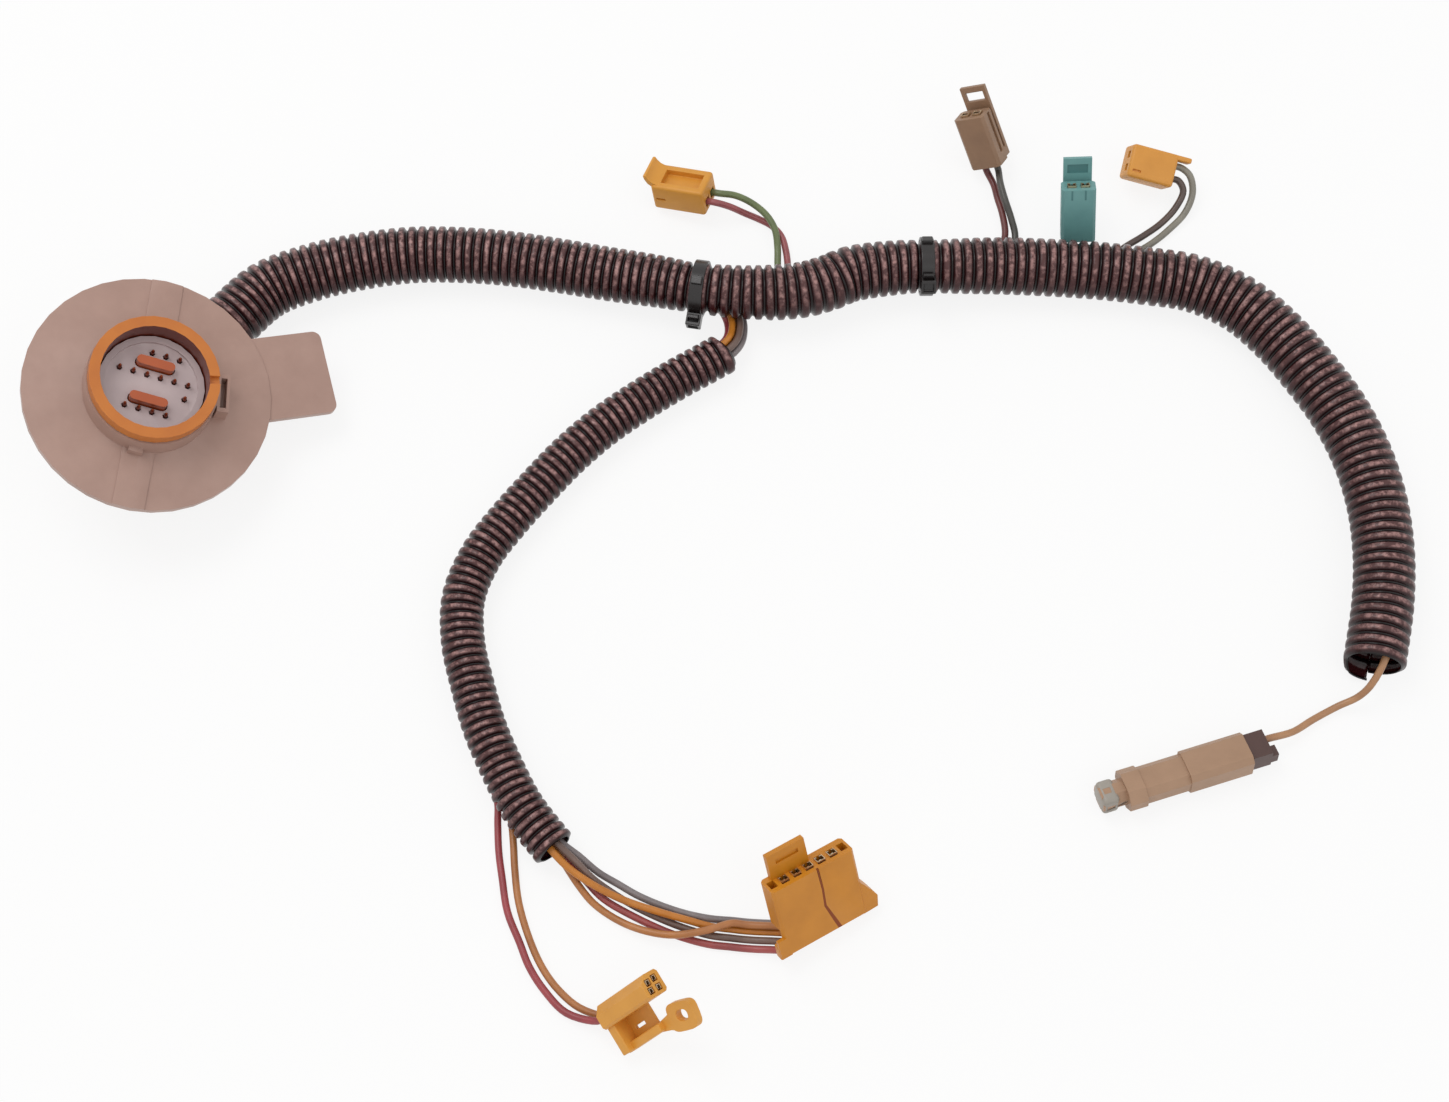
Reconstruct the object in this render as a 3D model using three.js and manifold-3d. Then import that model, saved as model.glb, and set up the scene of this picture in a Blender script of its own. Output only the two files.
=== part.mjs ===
// Wiring harness: a round pass-through connector, two split corrugated looms and seven plugs.
// Millimetres, +Z up, lying on a table at z = 0.
import * as THREE from 'three';
import { mergeVertices } from 'three/addons/utils/BufferGeometryUtils.js';
import Module from 'manifold-3d';

const wasm = await Module();
wasm.setup();

// Driving dimensions

const GAP = 0.3;                    // clearance between pieces that touch
const LAYOUT_CENTRE = [-0.06, -0.52];  // middle of the plan outline on the layout grid

const LEAD = { diameter: 2.2, sides: 8, laneGap: 0.35 };
const TERMINAL = { size: 2.1, length: 8, from: 6 };

const MAIN_LOOM = {
  pitch: 3.4, nearPitch: 3.1, groove: 1.2, wall: 0.45, leastBore: 7.05, segments: 7,
  startRadius: 9.4, tieRadius: 8.4, farStartRadius: 8.7, endRadius: 9.15,
};
const BRANCH_LOOM = { pitch: 3.0, groove: 1.1, wall: 0.45, leastBore: 4.4, segments: 7, radius: 6.6 };
const BORE_RING_SPACING = 3;        // convolutions between two rings of a loom's smooth bore
const SLIT_HALF_ANGLE = 5;          // degrees each side of straight down
const PINCH = { depth: 0.45, reach: 14 };
const CUT_END = { reach: 2.6, middle: 250, spread: 60 };    // uneven far end, angles in degrees

const TIE = { width: 4.6, thickness: 1.3, segments: 16, head: [6.6, 5.4, 5.2], tail: [3.2, 2.6, 4.2] };

const FLANGE = {
  radius: 36.8, thickness: 2.2, drop: 1.8, collarWall: 1.3, collarHeight: 8.0,
  tabFrom: 30, tabReach: 56, tabWidth: 26.6, tabCorner: 2.6, tabLevel: -2.4,
  bandWidth: 9.4, bandRise: 0.45, bandAngle: 69,
};
const SHELL = { sleeveRadius: 18.0, lip: 1.1, wall: 2.1, top: 12.5, floorTop: 1.0, floor: 3.0 };
const FACE = { thickness: 2.9, rimWidth: 1.9, rimHeight: 1.1, pinHole: 0.92 };
const PIN = { pitch: 4.1, radius: 0.62, height: 5.5, tip: 0.9 };
const BAR = { width: 2.8, length: 11.4, height: 6.2 };
const WINDOW = { angle: -15.6, centre: 21.1, length: 12, depth: 3.6, height: 6.2, slot: [1.8, 9.4, 4.6] };
const NOTCH = { angle: -11, width: 2.5, depth: 1.6 };
const LUG = { angle: -114, width: 4.2, reach: 1.3, height: 3.4 };
const COVER = { radius: 16.5, chamfer: 1.5, outletWall: 1.3, seatClearance: 0.55, seatDepth: 5.6 };

const TWO_WAY = {
  width: 10.8, thickness: 7.0, armGap: 1.6, arm: 1.5, tab: 7.0, hinge: 3.2, chamfer: 0.9,
  cavity: 2.9, cavityPitch: 4.2, window: [6.5, 3.0],
};
const FIVE_WAY = {
  width: 27, thickness: 7.2, length: 23.5, chamfer: 0.8, cavity: [2.5, 3.4, 9], pitch: 4.0,
  tab: [12.4, 8.4, 1.8], tabPlace: -4.6, wing: 3.0,
};
const ARM_PLUG = { width: 8.4, thickness: 7.0, length: 21.5, deckGap: 6.6, rail: 2.2, deck: 1.5 };
const SENSOR = { width: 11, thickness: 9.4, length: 19.5, barrel: 13.5, collar: 5.5, tip: 7.5, lock: 6 };

const COLOURS = {
  flange: 0xa98a7c, orange: 0xd9853a, face: 0xa79a9b, brass: 0xc2a56a, cover: 0x8e7568,
  loom: 0x2c2526, tie: 0x1c1a1a, yellow: 0xd2923a, amber: 0xbe8128, tan: 0x9c7b66, teal: 0x5b8c8b,
  sensor: 0xae8a73, lock: 0x4a2e2a, arm: 0xe0a050,
};

// Poses on the layout grid
// A plug's own +Z runs from its wire end to its mating end and its own +Y is the latch side.

const CONNECTOR_POSE = { at: [-171.6, 38.1, 33], roll: 10.4, pitch: 19, yaw: 18.4 };
const PLUG_POSES = {
  near_yellow_plug: { at: [-4.6, 118.8, 8.7], heading: 162.2, pitch: -12.7, roll: 12.4 },
  tan_plug: { at: [85.9, 132.7, 5.9], heading: 122.9, pitch: 46.7, roll: 124.8 },
  teal_plug: { at: [112.9, 106.4, 4.5], heading: 96.4, pitch: 55.5, roll: 171.2 },
  far_yellow_plug: { at: [144.2, 128.0, 8.3], heading: 171.4, pitch: 13.8, roll: 156.4 },
  five_way_plug: { at: [27.7, -117.4, 4.4], heading: 109.7, pitch: 53.5, roll: 193.8 },
  arm_plug: { at: [-33.0, -142.6, 5.2], heading: 22.7, pitch: 48.2, roll: 102.8 },
  sensor_plug: { at: [152.6, -66.0, 5.6], heading: 197.5, pitch: 0, roll: 12 },
};

// Routes on the layout grid: x, y and height of the middle of each loom

const MAIN_ROUTE = [
  [-163.4, 62.2, 11.4], [-154.2, 72.8, 11.1], [-143.5, 84.3, 10.4], [-129.6, 90.9, 9.8],
  [-114.7, 94.9, 9.5], [-99.3, 97.2, 9.4], [-83.7, 97.3, 9.3], [-68.1, 96.0, 9.3],
  [-52.5, 93.5, 9.3], [-37.1, 90.5, 9.5], [-21.6, 87.5, 10.2], [-6.6, 84.1, 11.2],
  [8.9, 82.6, 11.5], [24.4, 83.8, 11.3], [33.2, 86.7, 11.0], [39.5, 89.6, 10.8],
  [55.1, 92.2, 10.5], [70.7, 92.6, 10.5], [86.3, 93.0, 10.0], [101.8, 92.7, 9.5],
  [117.4, 91.7, 9.3], [132.7, 89.8, 9.3], [148.0, 87.0, 9.3], [161.6, 79.9, 9.3],
  [172.5, 69.0, 9.3], [181.5, 56.1, 9.3], [189.3, 42.5, 9.3], [194.8, 27.7, 9.4],
  [197.8, 12.0, 9.4], [198.2, -4.0, 9.4], [196.4, -19.9, 9.4], [192.9, -35.4, 9.4],
  [191.2, -42.3, 9.4],
];
// The branch leaves the main loom's bundle just past the first tie
const BRANCH_ROUTE = [
  [0.5, 80.5, 7.1], [3.2, 76.5, 5.2], [3.6, 71.5, 5.5], [2.2, 67.0, 6.8], [-0.2, 63.8, 7.2],
  [-4.0, 61.3, 7.1], [-14.9, 54.9, 6.8], [-26.6, 47.0, 6.8], [-37.7, 38.5, 6.8],
  [-47.9, 28.7, 6.8], [-57.0, 18.1, 6.8], [-65.7, 7.2, 6.8], [-73.4, -4.3, 6.8],
  [-78.1, -17.5, 6.8], [-77.8, -31.6, 6.8], [-74.5, -45.2, 6.8], [-70.4, -58.4, 6.8],
  [-64.9, -70.8, 6.8], [-58.6, -82.6, 6.8], [-50.5, -93.1, 6.8], [-48.7, -95.2, 6.8],
];
// The five-way plug's leads gather on this line and go in at the window behind the plug
const FIVE_WAY_TAIL = [[2.0, -118.6, 2.5], [7.5, -119.2, 2.6], [12.0, -119.6, 3.6], [18.6, -120.7, 7.2]];

// Stations, in millimetres along the routes

const STATIONS = {
  loomStart: 0.8, leadStart: 0.4, tie: 169, middleTie: 242, branchLeave: 172, branchLoomStart: 27,
};
const OPENINGS = {
  // span along the loom, and degrees from straight down that the slit is spread to on that side
  branchBundle: { from: 170, to: 190, spread: 78 },
  nearYellow: { from: 181, to: 204, spread: 66 },
  farPlugs: { from: 251, to: 312, spread: 62 },
  armLeads: { fromEnd: 36, toEnd: 10, spread: 90 },
};
const OPENING_EASE = 4.5;
const HIDDEN_STATIONS = [11, 23, 40, 62, 84, 106, 128, 150];

// Small helpers

const radians = THREE.MathUtils.degToRad;
const lane = LEAD.diameter + LEAD.laneGap;
const laneRow = lane * Math.sqrt(3) / 2;

function vector(list) {
  return new THREE.Vector3(...list);
}

function toSolid(geometry) {
  const bare = geometry.clone();
  bare.deleteAttribute('normal');
  bare.deleteAttribute('uv');
  const merged = mergeVertices(bare, 1e-4);
  return new wasm.Manifold(new wasm.Mesh({
    numProp: 3,
    vertProperties: new Float32Array(merged.attributes.position.array),
    triVerts: new Uint32Array(merged.index.array),
  }));
}

function toGeometry(solid) {
  const mesh = solid.getMesh();
  const geometry = new THREE.BufferGeometry();
  geometry.setAttribute('position', new THREE.BufferAttribute(mesh.vertProperties, 3));
  geometry.setIndex(new THREE.BufferAttribute(mesh.triVerts, 1));
  return geometry;
}

function join(...geometries) {
  return geometries.map(toSolid).reduce((whole, part) => whole.add(part));
}

function cut(solid, ...geometries) {
  return geometries.map(toSolid).reduce((whole, part) => whole.subtract(part), solid);
}

function block(size, centre) {
  return new THREE.BoxGeometry(...size).translate(...centre);
}

// A block given by its lowest and highest corner
function blockBetween(low, high) {
  const size = high.map((value, axis) => value - low[axis]);
  const centre = high.map((value, axis) => (value + low[axis]) / 2);
  return block(size, centre);
}

function lathe(profile, segments) {
  const points = profile.map(([radius, height]) => new THREE.Vector2(radius, height));
  return new THREE.LatheGeometry(points, segments).rotateX(Math.PI / 2);
}

function prism(outline, depth) {
  const shape = Array.isArray(outline)
    ? new THREE.Shape(outline.map(([x, y]) => new THREE.Vector2(x, y)))
    : outline;
  return new THREE.ExtrudeGeometry(shape, { depth, bevelEnabled: false, curveSegments: 4 });
}

function chamferedRectangle(width, height, chamfer) {
  const x = width / 2;
  const y = height / 2;
  return [
    [x - chamfer, -y], [x, -y + chamfer], [x, y - chamfer], [x - chamfer, y],
    [-x + chamfer, y], [-x, y - chamfer], [-x, -y + chamfer], [-x + chamfer, -y],
  ];
}

function rod(from, to, radius, segments) {
  const axis = to.clone().sub(from);
  const turn = new THREE.Quaternion().setFromUnitVectors(new THREE.Vector3(0, 1, 0), axis.clone().normalize());
  const middle = from.clone().add(to).multiplyScalar(0.5);
  return new THREE.CylinderGeometry(radius, radius, axis.length(), segments)
    .applyQuaternion(turn)
    .translate(middle.x, middle.y, middle.z);
}

const harness = new THREE.Group();

function addPiece(parent, name, geometry, color, roughness = 0.55, metalness = 0) {
  const material = new THREE.MeshStandardMaterial({ color, roughness, metalness });
  const mesh = new THREE.Mesh(geometry, material);
  mesh.name = name;
  parent.add(mesh);
}

// A route with a level frame: side points to the left of travel and up away from the table
class Route {
  constructor(points) {
    this.curve = new THREE.CatmullRomCurve3(points, false, 'centripetal');
    this.curve.arcLengthDivisions = 800;
    this.length = this.curve.getLength();
  }

  frame(station) {
    const share = THREE.MathUtils.clamp(station / this.length, 0, 1);
    const at = this.curve.getPointAt(share);
    const along = this.curve.getTangentAt(share);
    const side = new THREE.Vector3(0, 0, 1).cross(along).normalize();
    const up = along.clone().cross(side);
    return { at, along, side, up };
  }

  point(station, across, rise) {
    const { at, side, up } = this.frame(station);
    return at.addScaledVector(side, across).addScaledVector(up, rise);
  }
}

// A curve whose sections fall exactly on its own points
class StationCurve extends THREE.CatmullRomCurve3 {
  getPointAt(share, target) {
    return this.getPoint(share, target);
  }

  getTangentAt(share, target) {
    return this.getTangent(share, target);
  }
}

const bundleLane = [-lane / 2, -laneRow];
const main = new Route(MAIN_ROUTE.map(vector));
const branch = new Route([
  main.point(STATIONS.branchLeave - 6, ...bundleLane),
  main.point(STATIONS.branchLeave, ...bundleLane),
  ...BRANCH_ROUTE.map(vector),
]);
const fiveWayTail = new Route(FIVE_WAY_TAIL.map(vector));

// Split corrugated loom

function loomRadius(station) {
  const { startRadius, tieRadius, farStartRadius, endRadius } = MAIN_LOOM;
  const near = station < STATIONS.tie;
  const share = near ? station / STATIONS.tie : Math.min((station - STATIONS.tie) / 120, 1);
  const plain = near
    ? THREE.MathUtils.lerp(startRadius, tieRadius, share)
    : THREE.MathUtils.lerp(farStartRadius, endRadius, share);
  const pinch = [STATIONS.tie, STATIONS.middleTie]
    .map((tie) => PINCH.depth * Math.exp(-(((station - tie) / PINCH.reach) ** 2)))
    .reduce((sum, value) => sum + value, 0);
  return plain - pinch;
}

// How far the slit is spread at a station, in degrees from straight down
function slitSpread(station, openings) {
  return openings.reduce((widest, { from, to, spread }) => {
    const inside = Math.min(station - from, to - station) / OPENING_EASE + 1;
    const share = THREE.MathUtils.smoothstep(inside, 0, 1);
    return Math.max(widest, THREE.MathUtils.lerp(SLIT_HALF_ANGLE, spread, share));
  }, SLIT_HALF_ANGLE);
}

function splitLoom(plan) {
  const { route, from, to, pitch, groove, wall, leastBore, segments, radiusAt } = plan;
  const convolutions = Math.round((to - from) / pitch);
  const spacing = (to - from) / (2 * convolutions);
  const rows = 2 * convolutions;
  const boreStep = 2 * BORE_RING_SPACING;
  const vertices = [];
  const faces = [];

  // one ring of points across the tube, from the far edge of the slit over the top to the near edge
  function addRing(station, radius, shift) {
    const start = -90 + slitSpread(station, plan.farOpenings);
    const end = 270 - slitSpread(station, plan.nearOpenings);
    const ring = [];
    for (let j = 0; j <= segments; j += 1) {
      const angle = THREE.MathUtils.lerp(start, end, j / segments);
      const across = radius * Math.cos(radians(angle));
      const rise = radius * Math.sin(radians(angle));
      const { at, along, side, up } = route.frame(station);
      const point = at.addScaledVector(side, across).addScaledVector(up, rise);
      ring.push(vertices.length);
      vertices.push(point.addScaledVector(along, shift(angle)));
    }
    return ring;
  }

  const rootRadius = (station) => Math.max(radiusAt(station) - groove, leastBore + wall);
  const straight = () => 0;
  const outer = [];
  const bore = [];
  for (let i = 0; i <= rows; i += 1) {
    const station = from + i * spacing;
    const shift = i === rows ? plan.endShift : straight;
    const radius = i % 2 === 0 ? radiusAt(station) : rootRadius(station);
    outer.push({ at: i, ring: addRing(station, radius, shift) });
    if (i % boreStep === 0 && i <= rows - boreStep || i === rows) {
      bore.push({ at: i, ring: addRing(station, rootRadius(station) - wall, shift) });
    }
  }

  function skin(rings, outward) {
    for (let i = 0; i + 1 < rings.length; i += 1) {
      const a = rings[i].ring;
      const b = rings[i + 1].ring;
      for (let j = 0; j < segments; j += 1) {
        const forward = vertices[a[j]].distanceTo(vertices[b[j + 1]]);
        const backward = vertices[a[j + 1]].distanceTo(vertices[b[j]]);
        const pair = forward <= backward
          ? [[a[j], a[j + 1], b[j + 1]], [a[j], b[j + 1], b[j]]]
          : [[a[j], a[j + 1], b[j]], [a[j + 1], b[j + 1], b[j]]];
        faces.push(...pair.map(([x, y, z]) => (outward ? [x, y, z] : [x, z, y])));
      }
    }
  }

  // the wall at one edge of the slit joins the outer rings to the bore's wider spaced rings
  function slitWall(j, flipped) {
    let o = 0;
    let b = 0;
    while (o + 1 < outer.length || b + 1 < bore.length) {
      const outerNext = o + 1 < outer.length ? outer[o + 1].at : Infinity;
      const boreNext = b + 1 < bore.length ? bore[b + 1].at : Infinity;
      const onOuter = outerNext <= boreNext;
      const third = onOuter ? outer[o + 1].ring[j] : bore[b + 1].ring[j];
      const face = [outer[o].ring[j], bore[b].ring[j], third];
      faces.push(flipped ? [face[0], face[2], face[1]] : face);
      o += onOuter ? 1 : 0;
      b += onOuter ? 0 : 1;
    }
  }

  function endFace(o, b, flipped) {
    for (let j = 0; j < segments; j += 1) {
      const pair = [[o[j], b[j], b[j + 1]], [o[j], b[j + 1], o[j + 1]]];
      faces.push(...pair.map(([x, y, z]) => (flipped ? [x, z, y] : [x, y, z])));
    }
  }

  skin(outer, true);
  skin(bore, false);
  slitWall(0, true);
  slitWall(segments, false);
  endFace(outer[0].ring, bore[0].ring, false);
  endFace(outer.at(-1).ring, bore.at(-1).ring, true);

  const geometry = new THREE.BufferGeometry();
  geometry.setAttribute('position', new THREE.Float32BufferAttribute(vertices.flatMap((v) => v.toArray()), 3));
  geometry.setIndex(faces.flat());
  return geometry;
}

// The lower part of the far end was cut longer than the top
function cutShift(angle) {
  const { reach, middle, spread } = CUT_END;
  return reach * THREE.MathUtils.smoothstep(spread - Math.abs(angle - middle), 0, spread / 2);
}

const squareEnd = () => 0;

addPiece(harness, 'main_loom_near', splitLoom({
  ...MAIN_LOOM, pitch: MAIN_LOOM.nearPitch, route: main, radiusAt: loomRadius,
  from: STATIONS.loomStart, to: STATIONS.tie - GAP / 2,
  farOpenings: [], nearOpenings: [], endShift: squareEnd,
}), COLOURS.loom, 0.6);
addPiece(harness, 'main_loom_far', splitLoom({
  ...MAIN_LOOM, route: main, radiusAt: loomRadius,
  from: STATIONS.tie + GAP / 2, to: main.length - CUT_END.reach,
  farOpenings: [OPENINGS.nearYellow, OPENINGS.farPlugs], nearOpenings: [OPENINGS.branchBundle],
  endShift: cutShift,
}), COLOURS.loom, 0.6);
const { fromEnd, toEnd, spread } = OPENINGS.armLeads;
addPiece(harness, 'branch_loom', splitLoom({
  ...BRANCH_LOOM, route: branch, radiusAt: () => BRANCH_LOOM.radius,
  from: STATIONS.branchLoomStart, to: branch.length,
  farOpenings: [], nearOpenings: [{ from: branch.length - fromEnd, to: branch.length - toEnd, spread }],
  endShift: squareEnd,
}), COLOURS.loom, 0.6);

// Cable ties

function cableTie(station, headAngle) {
  const { at, along, side, up } = main.frame(station);
  const inner = loomRadius(station) + GAP + 0.1;
  const outer = inner + TIE.thickness;
  const half = TIE.width / 2;
  const strap = lathe([[inner, -half], [outer, -half], [outer, half], [inner, half], [inner, -half]], TIE.segments);
  const [tall, long, wide] = TIE.head;
  const head = block([tall, wide, long], [inner + tall / 2 + 0.1, 0, 0]).rotateZ(radians(headAngle));
  const [tailTall, tailLong, tailWide] = TIE.tail;
  const tail = block([tailTall, tailWide, tailLong], [inner + tailTall / 2 + 0.1, 0, 0])
    .rotateZ(radians(headAngle - 90));
  const place = new THREE.Matrix4().makeBasis(side, up, along).setPosition(at);
  return toGeometry(join(strap, head, tail)).applyMatrix4(place);
}

addPiece(harness, 'cable_tie_junction', cableTie(STATIONS.tie, 192), COLOURS.tie, 0.5);
addPiece(harness, 'cable_tie_middle', cableTie(STATIONS.middleTie, 150), COLOURS.tie, 0.5);

// Pass-through connector, built about its own axis

const connector = new THREE.Group();
connector.position.set(...CONNECTOR_POSE.at);
connector.rotation.set(
  radians(CONNECTOR_POSE.roll), radians(CONNECTOR_POSE.pitch), radians(CONNECTOR_POSE.yaw), 'ZYX',
);
connector.updateMatrix();
harness.add(connector);

function connectorFlange() {
  const { radius, thickness, drop, collarWall, collarHeight } = FLANGE;
  const bore = SHELL.sleeveRadius + GAP;
  const collar = bore + collarWall;
  const disc = lathe([
    [bore, -thickness], [radius, -drop - thickness], [radius, -drop], [collar, 0],
    [collar, collarHeight], [bore, collarHeight], [bore, -thickness],
  ], 36);
  const raised = lathe([
    [collar, -thickness], [radius, -drop - thickness], [radius, -drop + FLANGE.bandRise],
    [collar, FLANGE.bandRise], [collar, -thickness],
  ], 36);
  const bandBlock = block([2 * radius + 2, FLANGE.bandWidth, 12], [0, 0, 0]).rotateZ(radians(FLANGE.bandAngle));
  const bands = toSolid(raised).intersect(toSolid(bandBlock));

  const { tabFrom, tabReach, tabWidth, tabCorner, tabLevel } = FLANGE;
  const half = tabWidth / 2;
  const tabShape = new THREE.Shape();
  tabShape.moveTo(tabFrom, -half);
  tabShape.lineTo(tabReach - tabCorner, -half);
  tabShape.absarc(tabReach - tabCorner, -half + tabCorner, tabCorner, -Math.PI / 2, 0);
  tabShape.lineTo(tabReach, half - tabCorner);
  tabShape.absarc(tabReach - tabCorner, half - tabCorner, tabCorner, 0, Math.PI / 2);
  tabShape.lineTo(tabFrom, half);
  const tab = prism(tabShape, thickness).translate(0, 0, tabLevel - thickness);

  const foot = -thickness / 2;
  const keeper = blockBetween(
    [WINDOW.centre - WINDOW.depth / 2, -WINDOW.length / 2, foot],
    [WINDOW.centre + WINDOW.depth / 2, WINDOW.length / 2, WINDOW.height],
  );
  const [slotDepth, slotLength, slotHeight] = WINDOW.slot;
  const slot = blockBetween(
    [WINDOW.centre - slotDepth / 2, -slotLength / 2, WINDOW.height - slotHeight],
    [WINDOW.centre + slotDepth / 2, slotLength / 2, WINDOW.height + 1],
  );
  const lug = blockBetween(
    [collar - collarWall / 2, -LUG.width / 2, foot],
    [collar + LUG.reach, LUG.width / 2, LUG.height],
  );
  keeper.rotateZ(radians(WINDOW.angle));
  slot.rotateZ(radians(WINDOW.angle));
  lug.rotateZ(radians(LUG.angle));
  return toGeometry(cut(join(disc, tab, keeper, lug).add(bands), slot));
}

function stadium(width, length) {
  const half = length / 2 - width / 2;
  const shape = new THREE.Shape();
  shape.moveTo(-half, -width / 2);
  shape.lineTo(half, -width / 2);
  shape.absarc(half, 0, width / 2, -Math.PI / 2, Math.PI / 2);
  shape.lineTo(-half, width / 2);
  shape.absarc(-half, 0, width / 2, Math.PI / 2, 3 * Math.PI / 2);
  return shape;
}

// Contact layout: rows across the face, turned against the tab
const CONTACT_TURN = -25;
const CONTACT_ROWS = [
  { offset: 10.2, columns: [2, 3, 4] },
  { offset: 3.1, columns: [0, 1, 2, 3, 4, 5] },
  { offset: -1.4, columns: [5] },
  { offset: -8.0, columns: [1, 2, 3, 4] },
];
const BAR_PLACES = [[-0.4, 6.5], [0.1, -5.1]];

const contactPlaces = CONTACT_ROWS.flatMap(({ offset, columns }) => columns.map((column) => (
  new THREE.Vector2((column - 2.5) * PIN.pitch, offset)
    .rotateAround(new THREE.Vector2(), radians(CONTACT_TURN))
)));

function indexBars(clearance, height, bottom) {
  return BAR_PLACES.map(([x, y]) => (
    prism(stadium(BAR.width + 2 * clearance, BAR.length + 2 * clearance), height)
      .translate(x, y, bottom)
      .rotateZ(radians(CONTACT_TURN))
  ));
}

function connectorShell() {
  const { sleeveRadius, lip, wall, top, floorTop, floor } = SHELL;
  const seat = FLANGE.collarHeight + GAP;
  const inner = sleeveRadius - wall;
  const cup = lathe([
    [0, floorTop - floor], [sleeveRadius, floorTop - floor], [sleeveRadius, seat],
    [sleeveRadius + lip, seat], [sleeveRadius + lip, top], [inner, top], [inner, floorTop], [0, floorTop],
  ], 32);
  const notch = block([2 * wall + 4, NOTCH.width, 2 * NOTCH.depth], [sleeveRadius + wall, 0, top])
    .rotateZ(radians(NOTCH.angle));
  return toGeometry(cut(join(cup, ...indexBars(0, BAR.height + 0.5, floorTop - 0.5)), notch));
}

function contactFace() {
  const bottom = SHELL.floorTop + GAP;
  const top = bottom + FACE.thickness;
  const outer = SHELL.sleeveRadius - SHELL.wall - GAP;
  const disc = lathe([
    [0, bottom], [outer, bottom], [outer, top + FACE.rimHeight], [outer - FACE.rimWidth, top + FACE.rimHeight],
    [outer - FACE.rimWidth, top], [0, top],
  ], 24);
  const holes = contactPlaces.map(({ x, y }) => (
    new THREE.CylinderGeometry(FACE.pinHole, FACE.pinHole, 8, 6).rotateX(Math.PI / 2).translate(x, y, top)
  ));
  return toGeometry(cut(toSolid(disc), ...holes, ...indexBars(GAP, 8, bottom - 2)));
}

addPiece(connector, 'connector_flange', connectorFlange(), COLOURS.flange, 0.6);
addPiece(connector, 'connector_shell', connectorShell(), COLOURS.orange, 0.5);
addPiece(connector, 'contact_face', contactFace(), COLOURS.face, 0.6);

contactPlaces.forEach(({ x, y }, index) => {
  const { radius, height, tip } = PIN;
  const foot = SHELL.floorTop + GAP;
  const pin = lathe([[0, 0], [radius, 0], [radius, height - tip], [radius / 2, height], [0, height]], 6)
    .translate(x, y, foot);
  addPiece(connector, `contact_pin_${String(index + 1).padStart(2, '0')}`, pin, COLOURS.brass, 0.35, 0.9);
});

// Rear cover: a barrel under the shell with an outlet that takes the end of the loom

function rearCover() {
  const { radius, chamfer, outletWall, seatClearance, seatDepth } = COVER;
  const lean = new THREE.Vector3(0, 0, 1).transformDirection(connector.matrix);
  const tilt = Math.acos(lean.z);
  const rest = -(CONNECTOR_POSE.at[2] - (radius - chamfer) * Math.sin(tilt) - 0.1) / Math.cos(tilt);
  const top = SHELL.floorTop - SHELL.floor - GAP;
  const barrel = lathe([
    [0, rest], [radius - chamfer, rest], [radius, rest + chamfer], [radius, top], [0, top],
  ], 24);

  const seat = loomRadius(STATIONS.loomStart) + seatClearance;
  const mouth = main.frame(seatDepth);
  const wallEnd = main.frame(0);
  const heading = mouth.at.clone().sub(wallEnd.at).normalize();
  const root = wallEnd.at.clone().addScaledVector(heading, -22);
  const toLocal = connector.matrix.clone().invert();
  const boss = rod(root, mouth.at, seat + outletWall, 24).applyMatrix4(toLocal);
  const past = mouth.at.clone().addScaledVector(heading, 4);
  const bore = rod(wallEnd.at, past, seat, 24).applyMatrix4(toLocal);
  const underside = -FLANGE.thickness - FLANGE.drop - GAP;
  const head = blockBetween([-80, -80, underside], [80, 80, 40]);
  const outlet = cut(toSolid(boss), head);
  return toGeometry(cut(toSolid(barrel).add(outlet), bore));
}

addPiece(connector, 'rear_cover', rearCover(), COLOURS.cover, 0.6);

// Plugs

function plugGroup(name) {
  const { at, heading, pitch, roll } = PLUG_POSES[name];
  const group = new THREE.Group();
  const forward = new THREE.Vector3(
    Math.cos(radians(heading)) * Math.cos(radians(pitch)),
    Math.sin(radians(heading)) * Math.cos(radians(pitch)),
    Math.sin(radians(pitch)),
  );
  const left = new THREE.Vector3(-Math.sin(radians(heading)), Math.cos(radians(heading)), 0);
  const level = new THREE.Matrix4().makeBasis(left, forward.clone().cross(left), forward);
  group.position.set(...at);
  group.setRotationFromMatrix(level.multiply(new THREE.Matrix4().makeRotationZ(radians(roll))));
  group.updateMatrix();
  harness.add(group);
  return group;
}

const plugs = Object.fromEntries(Object.keys(PLUG_POSES).map((name) => [name, plugGroup(name)]));

function twoWayCavities(length) {
  const { cavity, cavityPitch } = TWO_WAY;
  return [-1, 1].map((hand) => block([cavity, cavity, length + 2], [hand * cavityPitch / 2, 0, length / 2]));
}

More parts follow.
